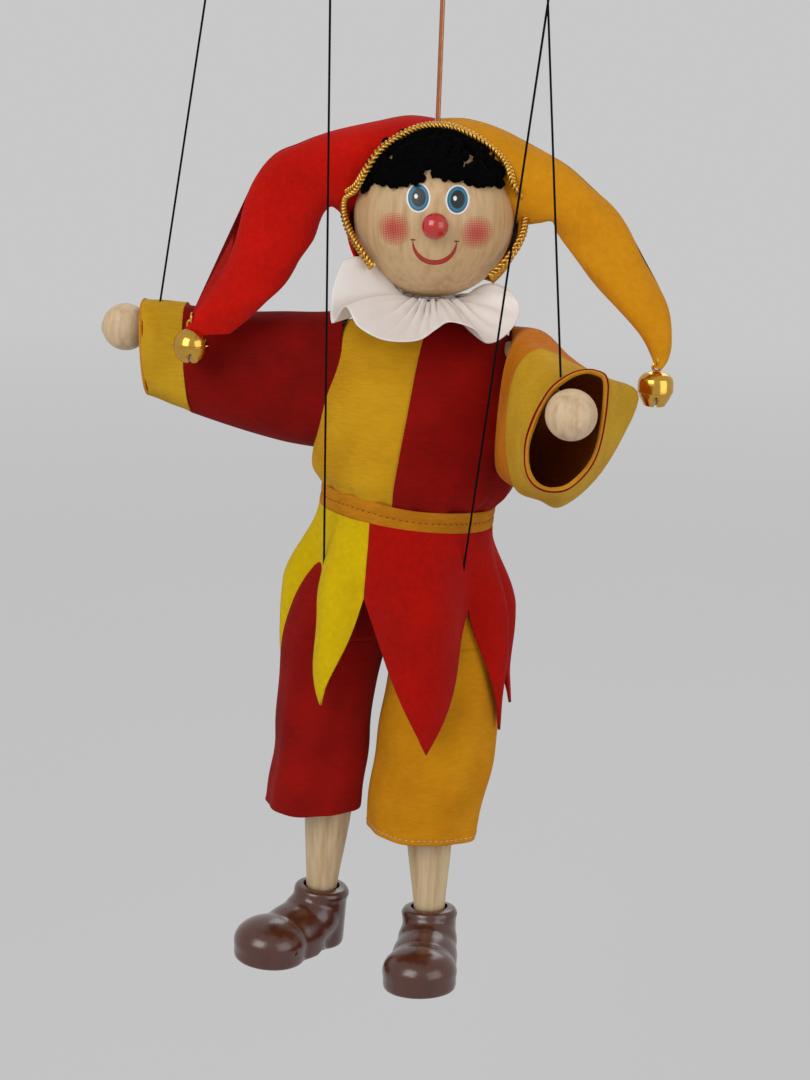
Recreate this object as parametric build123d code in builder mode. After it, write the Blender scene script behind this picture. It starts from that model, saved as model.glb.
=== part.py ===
from build123d import *
from math import sin, cos, tan, radians, pi
import os

os.makedirs("parts", exist_ok=True)

# Jester marionette. Millimetres, +Z up. The puppet faces -Y and its own right side is -X.
# The origin is the middle of the hanging hole in the control.

# Driving dimensions: control
hang_hole_d = 6.0
spine_width = 12.0
spine_height = 20.0
spine_nose_height = 9.0
spine_front = 78.0
spine_back = 34.0
bar_width = 10.0
bar_thickness = 8.0
hand_bar_y = -16.0
leg_bar_y = -70.0
hand_hole_x = {"right": -83.0, "left": 36.5}
leg_hole_x = {"right": -38.5, "left": 36.0}
bar_margin = 8.0
peg_d = 4.0
peg_depth = 6.0
spine_hole_cover = 3.0
spine_round = 2.0

# Head and its wire
head_drop = 117.0
head_d = 60.0
wire_d = 1.8
link_ring_r = 1.8
eye_wire_d = 1.2
bead_d = 8.0
bead_height = 1.8
nose_d = 9.8
nose_stand = 2.6
nose_drop = 0.6
felt = 2.0
hair_thickness = 2.6
braid_d = 3.0
hat_front_y = -4.5
hat_hem_drop = 24.0
hair_line = 12.0
chin_flat = 0.7

# Torso and pelvis
torso_roll = 5.8
torso_shift = 1.5
torso_height = 80.0
shoulder_drop = 6.0
shoulder_half = 24.0
chest_half = 29.0
chest_depth = 22.0
waist_half = 29.5
waist_depth = 26.0
belt_above_hem = 12.0
belt_height = 8.0
pelvis_width = 12.0
pelvis_depth = 18.0
hip_below_torso = 15.0
hip_side_gap = 1.0
hip_shift = -3.4
waist_peg_d = 6.0
waist_peg_length = 24.0
armhole_r = 19.4
ruff_r = 31.5
ruff_height = 4.4

# Arms
arm_reach = 88.4
arm_d = 6.0
tenon_d = 4.5
shoulder_shank = 14.0
arm_shank = 12.0
tenon_inset = 0.6
wrist_inset = 3.0
hand_d = 18.0
arm_heading = {"right": 172.3, "left": -77.0}
arm_droop = {"right": 4.2, "left": 6.7}
sleeve_start = {"right": 15.0, "left": 29.0}
sleeve_half_width = 11.5
sleeve_half_depth = 21.0
cuff_length = 17.0

# Legs
thigh_length = 66.0
shin_length = 70.0
thigh_d = 17.0
calf_d = 20.0
ankle_d = 12.5
pin_d = 2.5
knee_tongue = 6.0
leg_lean = {"right": -3.1, "left": 2.1}
leg_swing = {"right": 0.0, "left": 5.0}
shoe_turn = {"right": -41.0, "left": -8.0}
shoe_height = 25.0
shoe_toe_d = 29.0
shoe_heel_d = 22.0
shoe_toe_reach = 27.0
shorts_half = 18.5
shorts_length = 100.0
shorts_top_half = 11.5
string_eye_drop = 40.0
string_eye_turn = 35.0
ankle_peg_d = 4.0
ankle_peg_length = 20.0
ankle_seat = 4.0
thigh_shank = 8.0
thigh_shank_depth = 6.0

# Strings and bells
string_d = 0.8
knot_d = 2.6
bell_d = 13.2
bell_wall = 0.7
pea_d = 3.6
thread_d = 0.8
string_bend_below = 4.7

# Clearances
running = 0.08
gap = 0.3
string_room = 0.5
cloth_room = 1.0
link_play = 0.1
cloth = 1.2

sides = {"right": -1, "left": 1}
head_r = head_d / 2
head_at = Vector(0, 0, -head_drop)


def unit(heading, rise):
    """A direction from its heading round Z and its rise above level, in degrees."""
    flat = cos(radians(rise))
    return Vector(flat * cos(radians(heading)), flat * sin(radians(heading)), sin(radians(rise)))


def along(start, direction, turn=Vector(0, 0, 1)):
    """A plane at start whose z axis runs along direction."""
    sideways = turn.cross(direction).normalized()
    return Plane(origin=start, x_dir=sideways, z_dir=direction)


def finish(piece, name):
    piece.label = name
    export_step(piece, f"parts/{name}.step")


# ---------------------------------------------------------------- control
bar_top = -spine_height / 2 - spine_hole_cover
bar_bottom = bar_top - bar_thickness
spine_top = bar_top + spine_height
nose_top = bar_top + spine_nose_height

with BuildPart() as control_spine:
    with BuildSketch(Plane.YZ.offset(-spine_width / 2)):
        with BuildLine():
            Polyline(
                (-spine_front, bar_top),
                (spine_back, bar_top),
                (spine_back, nose_top),
                (spine_back / 2, spine_top),
                (-spine_back / 2, spine_top),
                (-spine_back, nose_top),
                (-spine_front, nose_top),
                close=True,
            )
        make_face()
    extrude(amount=spine_width)
    fillet(control_spine.edges().filter_by(Axis.X), radius=spine_round)
    with Locations(Plane.YZ):
        Hole(radius=hang_hole_d / 2)
    with Locations((0, hand_bar_y, bar_top), (0, leg_bar_y, bar_top)):
        Cylinder(peg_d / 2, peg_depth, align=(Align.CENTER, Align.CENTER, Align.MIN), mode=Mode.SUBTRACT)
    with Locations((0, 0, bar_top)):
        Cylinder(wire_d / 2, peg_depth, align=(Align.CENTER, Align.CENTER, Align.MIN), mode=Mode.SUBTRACT)
finish(control_spine.part, "control_spine")

with BuildPart() as bar_pegs:
    with Locations((0, hand_bar_y, bar_top), (0, leg_bar_y, bar_top)):
        Cylinder(peg_d / 2, 2 * peg_depth)
finish(bar_pegs.part, "bar_pegs")


def control_bar(name, bar_y, hole_x):
    """A flat wooden crossbar with string holes, pegged under the spine."""
    left_end = max(hole_x) + bar_margin
    right_end = min(hole_x) - bar_margin
    with BuildPart() as bar:
        with BuildSketch(Plane.XY.offset(bar_bottom)):
            with Locations(((left_end + right_end) / 2, bar_y)):
                SlotOverall(left_end - right_end, bar_width)
        extrude(amount=bar_thickness)
        with Locations((0, bar_y, bar_top - peg_depth)):
            Cylinder(peg_d / 2, peg_depth, align=(Align.CENTER, Align.CENTER, Align.MIN), mode=Mode.SUBTRACT)
        with Locations(*[(x, bar_y, bar_bottom) for x in hole_x]):
            Cylinder(
                string_d / 2 + string_room,
                bar_thickness,
                align=(Align.CENTER, Align.CENTER, Align.MIN),
                mode=Mode.SUBTRACT,
            )
    finish(bar.part, name)


hand_holes = [hand_hole_x["right"], -hand_hole_x["left"], hand_hole_x["left"], -hand_hole_x["right"]]
control_bar("hand_bar", hand_bar_y, hand_holes)
control_bar("leg_bar", leg_bar_y, list(leg_hole_x.values()))

# ---------------------------------------------------------------- head wire and neck link
wire_r = wire_d / 2
eye_wire_r = eye_wire_d / 2
head_flat = -head_drop - head_r + chin_flat
bead_top = head_flat - 2 * link_play
neck_loop_z = bead_top - bead_height - wire_r - link_ring_r
neck_eye_z = neck_loop_z - 2 * link_ring_r + wire_r + eye_wire_r + link_play
torso_top = neck_eye_z - link_ring_r - eye_wire_r

with BuildPart() as head_wire:
    wire_length = bar_top + peg_depth - (neck_loop_z + link_ring_r)
    with Locations((0, 0, bar_top + peg_depth)):
        Cylinder(wire_r, wire_length, align=(Align.CENTER, Align.CENTER, Align.MAX))
    with Locations(Plane(origin=(0, 0, neck_loop_z), z_dir=(0, 1, 0))):
        Torus(link_ring_r, wire_r)
finish(head_wire.part, "head_wire")

with BuildPart() as neck_bead:
    with Locations((0, 0, bead_top)):
        Cylinder(bead_d / 2, bead_height, align=(Align.CENTER, Align.CENTER, Align.MAX))
        Cylinder(wire_r, bead_height, align=(Align.CENTER, Align.CENTER, Align.MAX), mode=Mode.SUBTRACT)
    chamfer(neck_bead.edges().group_by(SortBy.LENGTH)[-1], length=0.3)
finish(neck_bead.part, "neck_bead")

# The torso leans over to the puppet's left on the neck link.
roll = radians(torso_roll)
torso = Plane(origin=(torso_shift, 0, torso_top), x_dir=(cos(roll), 0, -sin(roll)), z_dir=(sin(roll), 0, cos(roll)))


def on_torso(x, y, z):
    return torso.from_local_coords(Vector(x, y, z))


def rings(stations, inset=0.0):
    """Ellipses across the torso, one for each (height, half width, half depth)."""
    faces = []
    for height, half_width, half_depth in sorted(stations):
        with BuildSketch(torso.offset(height)) as ring:
            Ellipse(half_width - inset, half_depth - inset)
        faces.append(ring.sketch.face())
    return faces


neck_eye_shank = 9.0
with BuildPart() as neck_eye:
    with Locations(Plane(origin=(0, 0, neck_eye_z), z_dir=(1, 0, 0))):
        Torus(link_ring_r, eye_wire_r)
    with Locations((0, 0, neck_eye_z - link_ring_r)):
        Cylinder(eye_wire_r, neck_eye_shank, align=(Align.CENTER, Align.CENTER, Align.MAX))
finish(neck_eye.part, "neck_eye")

# ---------------------------------------------------------------- torso
torso_bottom = -torso_height
belt_drop = torso_height - belt_above_hem
hip_drop = torso_height + hip_below_torso
hip_spacing = pelvis_width + thigh_d + 2 * hip_side_gap
neck_half = 17.0
neck_half_depth = 11.0
torso_body = [
    (0.0, neck_half, neck_half_depth),
    (-shoulder_drop - 2.0, shoulder_half, 15.0),
    (-36.0, chest_half, chest_depth),
    (-belt_drop, waist_half, waist_depth),
    (torso_bottom, waist_half - 4.0, waist_depth - 4.0),
]
eye_stand = 4.0
eye_out = shoulder_half + eye_stand
shoulder_ring = {}
for side, sign in sides.items():
    shoulder_ring[side] = on_torso(sign * eye_out, 0, -shoulder_drop)


def shank_plane(sign):
    """Where a shoulder eye's shank meets its ring, looking outwards along the shoulders."""
    return Plane(origin=on_torso(sign * (eye_out - link_ring_r), 0, -shoulder_drop), z_dir=torso.x_dir * sign)


with BuildPart() as torso_block:
    loft(rings(torso_body), ruled=True)
    with Locations((0, 0, neck_eye_z - link_ring_r)):
        Cylinder(
            eye_wire_r,
            neck_eye_shank,
            align=(Align.CENTER, Align.CENTER, Align.MAX),
            mode=Mode.SUBTRACT,
        )
    for sign in sides.values():
        with Locations(shank_plane(sign)):
            Cylinder(eye_wire_r, shoulder_shank, align=(Align.CENTER, Align.CENTER, Align.MAX), mode=Mode.SUBTRACT)
    with Locations(torso.offset(torso_bottom)):
        Cylinder(waist_peg_d / 2, waist_peg_length / 2, align=(Align.CENTER, Align.CENTER, Align.MIN), mode=Mode.SUBTRACT)
finish(torso_block.part, "torso_block")

with BuildPart() as shoulder_eyes:
    for side, sign in sides.items():
        with Locations(Plane(origin=shoulder_ring[side], z_dir=torso.z_dir)):
            Torus(link_ring_r, eye_wire_r)
        with Locations(shank_plane(sign)):
            Cylinder(eye_wire_r, shoulder_shank, align=(Align.CENTER, Align.CENTER, Align.MAX))
finish(shoulder_eyes.part, "shoulder_eyes")

# ---------------------------------------------------------------- legs: frames first
hip_middle = on_torso(hip_shift, 0, -hip_drop)
pin_r = pin_d / 2


def leg_frame(side):
    """The hip joint's plane: z runs up the thigh, x along the hip and knee pins."""
    lean = radians(leg_lean[side])
    swing = radians(leg_swing[side])
    across = torso.x_dir * (sides[side] * hip_spacing / 2)
    upward = Vector(-sin(lean) * cos(swing), sin(swing), cos(lean) * cos(swing))
    return Plane(origin=hip_middle + across, x_dir=Vector(cos(lean), 0, sin(lean)), z_dir=upward)


pin_bite = 4.0
pin_length = hip_spacing / 2 - pelvis_width / 2 + pin_bite + thigh_d / 2 + gap
pin_head_d = pin_d + 2.4
pin_head = 1.2


def hip_pin_plane(side):
    """The pin's own plane: z points outwards from the pelvis, origin at its head's inner face."""
    frame = leg_frame(side)
    outward = frame.x_dir * sides[side]
    return Plane(origin=frame.origin + outward * (thigh_d / 2 + gap), z_dir=outward)


with BuildPart() as pelvis:
    with BuildSketch(torso.offset(torso_bottom)):
        with Locations((hip_shift, 0)):
            RectangleRounded(pelvis_width, pelvis_depth, 2.0)
    extrude(amount=-(hip_drop - torso_height) - thigh_d / 2)
    fillet(pelvis.faces().sort_by(Axis.Z)[0].edges(), radius=1.5)
    for side in sides:
        with Locations(hip_pin_plane(side)):
            Cylinder(pin_d / 2, pin_length, align=(Align.CENTER, Align.CENTER, Align.MAX), mode=Mode.SUBTRACT)
    with Locations(torso.offset(torso_bottom)):
        Cylinder(waist_peg_d / 2, waist_peg_length / 2, align=(Align.CENTER, Align.CENTER, Align.MAX), mode=Mode.SUBTRACT)
finish(pelvis.part, "pelvis")

with BuildPart() as hip_pins:
    for side in sides:
        with Locations(hip_pin_plane(side)):
            Cylinder(pin_r, pin_length, align=(Align.CENTER, Align.CENTER, Align.MAX))
            Cylinder(pin_head_d / 2, pin_head, align=(Align.CENTER, Align.CENTER, Align.MIN))
finish(hip_pins.part, "hip_pins")

with BuildPart() as waist_peg:
    with Locations(torso.offset(torso_bottom)):
        Cylinder(waist_peg_d / 2, waist_peg_length)
finish(waist_peg.part, "waist_peg")

# ---------------------------------------------------------------- strings: routes
knot_r = knot_d / 2
knot_seat = knot_r - string_d / 4


def string_path(hole_x, bar_y, target):
    """From just above the bar, down its hole, then straight to the target."""
    top = Vector(hole_x, bar_y, bar_top + gap)
    bend = Vector(hole_x, bar_y, bar_bottom - string_bend_below)
    return [top, bend, target]


def string_piece(name, route):
    run = (route[0] - route[1]).length
    turn = (route[1] - route[0]).get_angle(route[2] - route[1])
    bend_radius = 0.45 * run / tan(radians(turn) / 2)
    downward = (route[2] - route[1]).normalized()
    with BuildPart() as string:
        with BuildLine() as centre:
            FilletPolyline(*route, radius=bend_radius)
        with BuildSketch(Plane(origin=route[0], z_dir=(0, 0, -1))):
            Circle(string_d / 2)
        sweep(path=centre.line)
        with Locations(route[0] + Vector(0, 0, knot_seat), route[2] + downward * knot_seat):
            Sphere(knot_r)
    finish(string.part, name)
    length = (route[1] - route[0]).length + (route[2] - route[1]).length
    print(name, "bend radius", round(bend_radius, 1), "length", round(length, 1))


# ---------------------------------------------------------------- arms
eye_gap = 2 * eye_wire_r + link_play
hand_r = hand_d / 2
hand_at = {}
shoulder_pivot = {}
for side, sign in sides.items():
    direction = unit(arm_heading[side], -arm_droop[side])
    level = (direction - torso.z_dir * direction.dot(torso.z_dir)).normalized()
    pivot = shoulder_ring[side] + level * link_ring_r
    shoulder_pivot[side] = pivot
    hinge = torso.z_dir.cross(direction).normalized()
    ring_at = pivot + direction * (link_ring_r - eye_gap)
    shank_at = ring_at + direction * link_ring_r
    hand_at[side] = pivot + direction * arm_reach
    arm = along(pivot, direction)
    arm_start = link_ring_r * 2 + 1.5
    tenon_start = arm_reach - hand_r + tenon_inset
    with BuildPart() as arm_eye:
        with Locations(Plane(origin=ring_at, z_dir=hinge)):
            Torus(link_ring_r, eye_wire_r)
        with Locations(Plane(origin=shank_at, z_dir=direction)):
            Cylinder(eye_wire_r, arm_shank, align=(Align.CENTER, Align.CENTER, Align.MIN))
    finish(arm_eye.part, f"arm_eye_{side}")

    wrist = pivot + direction * (arm_reach - hand_r - wrist_inset)
    bar_exit = Vector(hand_hole_x[side], hand_bar_y, bar_bottom - string_bend_below)
    pull = (wrist - bar_exit).normalized()
    route = string_path(hand_hole_x[side], hand_bar_y, wrist + pull * (arm_d / 2 + string_room + gap))
    with BuildPart() as arm_dowel:
        with Locations(arm.offset(arm_start)):
            Cylinder(arm_d / 2, tenon_start - arm_start, align=(Align.CENTER, Align.CENTER, Align.MIN))
        with Locations(arm.offset(tenon_start)):
            Cylinder(tenon_d / 2, arm_reach + hand_r - tenon_start, align=(Align.CENTER, Align.CENTER, Align.MIN))
        with Locations(Plane(origin=shank_at, z_dir=direction)):
            Cylinder(eye_wire_r, arm_shank, align=(Align.CENTER, Align.CENTER, Align.MIN), mode=Mode.SUBTRACT)
        with Locations(Plane(origin=wrist, z_dir=pull)):
            Cylinder(string_d / 2 + string_room, arm_d * 2, mode=Mode.SUBTRACT)
    finish(arm_dowel.part, f"arm_dowel_{side}")

    with BuildPart() as hand:
        with Locations(Plane(origin=hand_at[side], z_dir=direction)):
            Sphere(hand_r)
            Cylinder(tenon_d / 2, hand_d * 1.2, mode=Mode.SUBTRACT)
        with Locations(arm.offset(tenon_start)):
            Cylinder(arm_d / 2 + 1.5, hand_r, align=(Align.CENTER, Align.CENTER, Align.MAX), mode=Mode.SUBTRACT)
    finish(hand.part, f"hand_{side}")
    string_piece(f"hand_string_{side}", route)

    # The cloth hangs from the top of the arm, so its section sits mostly below it.
    hang = sleeve_half_depth - arm_d / 2 - gap - cloth
    middle = hang if arm.y_dir.Z < 0 else -hang
    cuff_end = arm_reach - hand_r - 2 * gap
    cuff_start = cuff_end - cuff_length
    spans = {f"sleeve_{side}": (sleeve_start[side], cuff_start - gap), f"cuff_{side}": (cuff_start, cuff_end)}
    for name, (start, end) in spans.items():
        with BuildPart() as tube:
            for inset, mode in ((0.0, Mode.ADD), (cloth, Mode.SUBTRACT)):
                with BuildSketch(arm.offset(start)):
                    with Locations((0, middle)):
                        Ellipse(sleeve_half_width - inset, sleeve_half_depth - inset)
                extrude(amount=end - start, mode=mode)
            with Locations(Plane(origin=wrist, z_dir=pull)):
                Cylinder(string_d / 2 + cloth_room, 2 * sleeve_half_depth, align=(Align.CENTER, Align.CENTER, Align.MAX), mode=Mode.SUBTRACT)
        finish(tube.part, name)

# ---------------------------------------------------------------- legs
thigh_r = thigh_d / 2
calf_r = calf_d / 2
ankle_r = ankle_d / 2
knee_shoulder = thigh_r + 1.0
knot_below = 0.9
string_end = {}
shorts_depth = waist_depth - 7.0

for side, sign in sides.items():
    frame = leg_frame(side)
    knee = frame.offset(-thigh_length)
    ankle = knee.offset(-shin_length)
    hip_axis = Plane(origin=frame.origin, z_dir=frame.x_dir)
    knee_axis = Plane(origin=knee.origin, z_dir=frame.x_dir)
    eye_turn = radians(string_eye_turn)
    eye_side = frame.x_dir * (sign * sin(eye_turn)) - frame.y_dir * cos(eye_turn)
    eye_height = frame.origin - frame.z_dir * string_eye_drop
    eye_ring = eye_height + eye_side * (thigh_r + thigh_shank - thigh_shank_depth + link_ring_r)
    eye_shank = Plane(origin=eye_height + eye_side * (thigh_r - thigh_shank_depth), z_dir=eye_side)

    with BuildPart() as thigh:
        with Locations(frame):
            Cylinder(thigh_r, thigh_length, align=(Align.CENTER, Align.CENTER, Align.MAX))
            Sphere(thigh_r)
        with Locations(knee):
            Sphere(thigh_r)
        with Locations(knee.offset(-thigh_d)):
            Box(
                knee_tongue + 2 * gap,
                thigh_d * 2,
                thigh_d + thigh_r + 2.0,
                align=(Align.CENTER, Align.CENTER, Align.MIN),
                mode=Mode.SUBTRACT,
            )
        with Locations(hip_axis):
            Cylinder(pin_r + running, thigh_d * 2, mode=Mode.SUBTRACT)
        with Locations(knee_axis):
            Cylinder(pin_r, thigh_d * 2, mode=Mode.SUBTRACT)
        with Locations(eye_shank):
            Cylinder(eye_wire_r, thigh_d, align=(Align.CENTER, Align.CENTER, Align.MIN), mode=Mode.SUBTRACT)
    finish(thigh.part, f"thigh_{side}")

    with BuildPart() as thigh_eye:
        with Locations(Plane(origin=eye_ring, z_dir=frame.z_dir)):
            Torus(link_ring_r, eye_wire_r)
        with Locations(eye_shank):
            Cylinder(eye_wire_r, thigh_shank, align=(Align.CENTER, Align.CENTER, Align.MIN))
    finish(thigh_eye.part, f"thigh_eye_{side}")

    with BuildPart() as knee_pin:
        with Locations(knee_axis):
            Cylinder(pin_r, thigh_d - 2.0)
    finish(knee_pin.part, f"knee_pin_{side}")

    turned = Plane(origin=knee.origin, x_dir=frame.x_dir, z_dir=frame.y_dir * -1)
    with BuildPart() as shin:
        with BuildSketch(turned):
            with BuildLine():
                Line((0, -knee_shoulder), (thigh_r - 1.0, -knee_shoulder))
                Spline(
                    (thigh_r - 1.0, -knee_shoulder),
                    (calf_r, -shin_length * 0.5),
                    (ankle_r, -shin_length),
                    tangents=((1, -1), (0, -1)),
                )
                Line((ankle_r, -shin_length), (ankle_r, -shin_length - ankle_seat))
                Line((ankle_r, -shin_length - ankle_seat), (0, -shin_length - ankle_seat))
                Line((0, -shin_length - ankle_seat), (0, -knee_shoulder))
            make_face()
        revolve(axis=Axis(knee.origin, frame.z_dir))
        with Locations(knee):
            Box(knee_tongue, 2 * thigh_r - 1.0, knee_shoulder + 1.0, align=(Align.CENTER, Align.CENTER, Align.MAX))
        with Locations(knee_axis):
            Cylinder(thigh_r - 0.5, knee_tongue)
            Cylinder(pin_r + running, knee_tongue, mode=Mode.SUBTRACT)
        with Locations(ankle.offset(-ankle_seat)):
            Cylinder(ankle_peg_d / 2, ankle_peg_length / 2, align=(Align.CENTER, Align.CENTER, Align.MIN), mode=Mode.SUBTRACT)
    finish(shin.part, f"shin_{side}")

    with BuildPart() as ankle_peg:
        with Locations(ankle.offset(-ankle_seat)):
            Cylinder(ankle_peg_d / 2, ankle_peg_length)
    finish(ankle_peg.part, f"ankle_peg_{side}")

    turn = radians(shoe_turn[side])
    foot = Plane(
        origin=ankle.origin,
        x_dir=frame.x_dir * cos(turn) + frame.y_dir * sin(turn),
        z_dir=frame.z_dir,
    )
    with BuildPart() as shoe:
        with BuildSketch(foot.offset(-shoe_height)):
            with BuildSketch(mode=Mode.PRIVATE) as ends:
                Circle(shoe_heel_d / 2)
                with Locations((0, -shoe_toe_reach)):
                    Circle(shoe_toe_d / 2)
            add(make_hull(ends.sketch.edges(), mode=Mode.PRIVATE))
        extrude(amount=shoe_height * 0.64)
        top_edges = shoe.faces().sort_by(Axis(foot.origin, foot.z_dir))[-1].edges()
        fillet(top_edges, radius=shoe_height * 0.24)
        with Locations(foot):
            Cylinder(shoe_heel_d / 2 - 0.6, shoe_height, align=(Align.CENTER, Align.CENTER, Align.MAX))
            Cylinder(
                ankle_r + 0.9,
                ankle_seat,
                align=(Align.CENTER, Align.CENTER, Align.MAX),
                mode=Mode.SUBTRACT,
            )
        with Locations(foot.offset(-ankle_seat)):
            Cylinder(ankle_peg_d / 2, ankle_peg_length / 2, align=(Align.CENTER, Align.CENTER, Align.MAX), mode=Mode.SUBTRACT)
        arch = foot.origin - foot.z_dir * (shoe_height + 1.0) - foot.y_dir * (shoe_heel_d / 2 - 1.0)
        with Locations(Plane(origin=arch, z_dir=foot.x_dir)):
            Cylinder(4.0, shoe_toe_d * 2, mode=Mode.SUBTRACT)
    finish(shoe.part, f"shoe_{side}")

    route = string_path(leg_hole_x[side], leg_bar_y, eye_ring)
    pull = (route[2] - route[1]).normalized()
    string_piece(f"knee_string_{side}", [route[0], route[1], eye_ring + pull * knot_below])
    string_end[side] = Plane(origin=eye_ring, z_dir=pull * -1)

    # A shorts leg is a cloth tube round the thigh and knee, narrower where it is tucked under the torso.
    leg_stations = [
        (hip_drop - torso_height - 2.5, 0.0, shorts_top_half, shorts_depth),
        (-thigh_r - 3.5, 2.0, waist_half / 2 + 1.25, shorts_depth),
        (-shorts_length, 3.5, shorts_half, shorts_half),
    ]
    with BuildPart() as shorts_leg:
        for inset, mode in ((0.0, Mode.ADD), (cloth, Mode.SUBTRACT)):
            with BuildPart(mode=Mode.PRIVATE) as cloth_form:
                for height, outward, half_width, half_depth in sorted(leg_stations):
                    with BuildSketch(frame.offset(height)):
                        with Locations((sign * outward, 0)):
                            Ellipse(half_width - inset, half_depth - inset)
                loft(ruled=True)
            add(cloth_form.part, mode=mode)
        with Locations(on_torso(hip_shift, 0, torso_bottom)):
            Box(
                pelvis_width + 2 * gap,
                60.0,
                hip_drop - torso_height + thigh_r + 1.0,
                rotation=(0, torso_roll, 0),
                align=(Align.CENTER, Align.CENTER, Align.MAX),
                mode=Mode.SUBTRACT,
            )
        with Locations(torso.offset(torso_bottom - gap)):
            Box(120.0, 60.0, 30.0, align=(Align.CENTER, Align.CENTER, Align.MIN), mode=Mode.SUBTRACT)
        with Locations(string_end[side]):
            Cylinder(string_d / 2 + cloth_room, 2 * sleeve_half_depth, align=(Align.CENTER, Align.CENTER, Align.MIN), mode=Mode.SUBTRACT)
    finish(shorts_leg.part, f"shorts_{side}")

# ---------------------------------------------------------------- shirt, belt, skirt and ruff
shirt_bottom = -belt_drop - belt_height + 1.0
shirt_waist = waist_half + gap + cloth
shirt_waist_depth = waist_depth + gap + cloth
shirt_outer = [
    (gap + cloth, 20.0, 14.0),
    (-8.0, shoulder_half + 9.0, 19.0),
    (-34.0, chest_half + 9.0, chest_depth + 4.0),
    (8.0 - belt_drop, chest_half + 8.5, chest_depth + 6.5),
    (-belt_drop, shirt_waist, shirt_waist_depth),
    (shirt_bottom, shirt_waist, shirt_waist_depth),
]
shirt_inner = [(gap, 20.0, 14.0)] + shirt_outer[1:-1] + [(shirt_bottom - 1.0, shirt_waist, shirt_waist_depth)]

with BuildPart() as shirt_form:
    loft(rings(shirt_outer), ruled=True)
with BuildPart() as shirt_hollow:
    loft(rings(shirt_inner, inset=cloth), ruled=True)

for side, sign in sides.items():
    with BuildPart() as shirt_half:
        add(shirt_form.part)
        add(shirt_hollow.part, mode=Mode.SUBTRACT)
        with Locations(torso):
            Cylinder(bead_d / 2 + 2.0, 8.0, mode=Mode.SUBTRACT)
        for ring in shoulder_ring.values():
            with Locations(ring):
                Sphere(armhole_r, mode=Mode.SUBTRACT)
        with Locations(on_torso(-sign * 60.0 + sign * gap / 2, 0, torso_bottom / 2)):
            Box(120.0, 120.0, 200.0, rotation=(0, torso_roll, 0), mode=Mode.SUBTRACT)
    finish(shirt_half.part, f"shirt_{side}")

belt_inner = shirt_waist + 0.2
belt_inner_depth = shirt_waist_depth + 0.2
belt_wall = 2.0
with BuildPart() as belt:
    with BuildSketch(torso.offset(-belt_drop)):
        Ellipse(belt_inner + belt_wall, belt_inner_depth + belt_wall)
        Ellipse(belt_inner, belt_inner_depth, mode=Mode.SUBTRACT)
    extrude(amount=-belt_height)
finish(belt.part, "belt")

skirt_top = -belt_drop - belt_height - gap
skirt_length = 74.0
skirt_flare = 13.0
skirt_notches = (-90.0, -39.5, 3.0, 46.0, 90.0)
notch_half = 17.0
skirt_stations = [
    (skirt_top, belt_inner + belt_wall, belt_inner_depth + belt_wall),
    (skirt_top - skirt_length * 0.48, belt_inner + belt_wall + skirt_flare, belt_inner_depth + belt_wall + skirt_flare),
    (skirt_top - skirt_length, belt_inner + belt_wall + skirt_flare, belt_inner_depth + belt_wall + skirt_flare),
]
with BuildPart() as skirt_form:
    loft(rings(skirt_stations), ruled=True)
with BuildPart() as skirt_hollow:
    loft(rings(skirt_stations, inset=cloth), ruled=True)

for side, sign in sides.items():
    with BuildPart() as skirt_half:
        add(skirt_form.part)
        add(skirt_hollow.part, mode=Mode.SUBTRACT)
        with Locations(on_torso(-sign * 60.0 + sign * gap / 2, 0, skirt_top - skirt_length / 2)):
            Box(120.0, 140.0, 200.0, rotation=(0, torso_roll, 0), mode=Mode.SUBTRACT)
        for notch in skirt_notches:
            angle = radians(notch if sign > 0 else 180.0 - notch)
            outward = torso.x_dir * cos(angle) + torso.y_dir * sin(angle)
            level = torso.z_dir.cross(outward)
            with BuildSketch(Plane(origin=torso.origin, x_dir=level, z_dir=outward)):
                Polygon(
                    (0, skirt_top - 2.0),
                    (-notch_half, skirt_top - skirt_length - 1.0),
                    (notch_half, skirt_top - skirt_length - 1.0),
                    align=None,
                )
            extrude(amount=2 * skirt_length, mode=Mode.SUBTRACT)
        with Locations(string_end[side]):
            Cylinder(
                string_d / 2 + cloth_room,
                2 * skirt_length,
                align=(Align.CENTER, Align.CENTER, Align.MIN),
                mode=Mode.SUBTRACT,
            )
    finish(skirt_half.part, f"peplum_{side}")

ruff_bottom = gap + cloth + gap
with BuildPart() as ruff:
    with BuildSketch(torso.offset(ruff_bottom)):
        Circle(ruff_r)
        Circle(bead_d / 2 + 3.0, mode=Mode.SUBTRACT)
    extrude(amount=ruff_height)
    fillet(ruff.edges().group_by(SortBy.LENGTH)[-1], radius=1.6)
finish(ruff.part, "ruff")

# ---------------------------------------------------------------- head
wire_hole = wire_r + 0.1
with BuildPart() as head_ball:
    with Locations(head_at):
        Sphere(head_r)
    with Locations((0, 0, head_flat)):
        Box(head_d, head_d, head_r, align=(Align.CENTER, Align.CENTER, Align.MAX), mode=Mode.SUBTRACT)
    with Locations(head_at):
        Cylinder(wire_hole, head_d * 1.1, mode=Mode.SUBTRACT)
finish(head_ball.part, "head_ball")

with BuildPart() as nose:
    with Locations(head_at + Vector(0, -head_r - nose_stand, -nose_drop)):
        Sphere(nose_d / 2)
    with Locations(head_at):
        Sphere(head_r, mode=Mode.SUBTRACT)
finish(nose.part, "nose")


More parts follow.
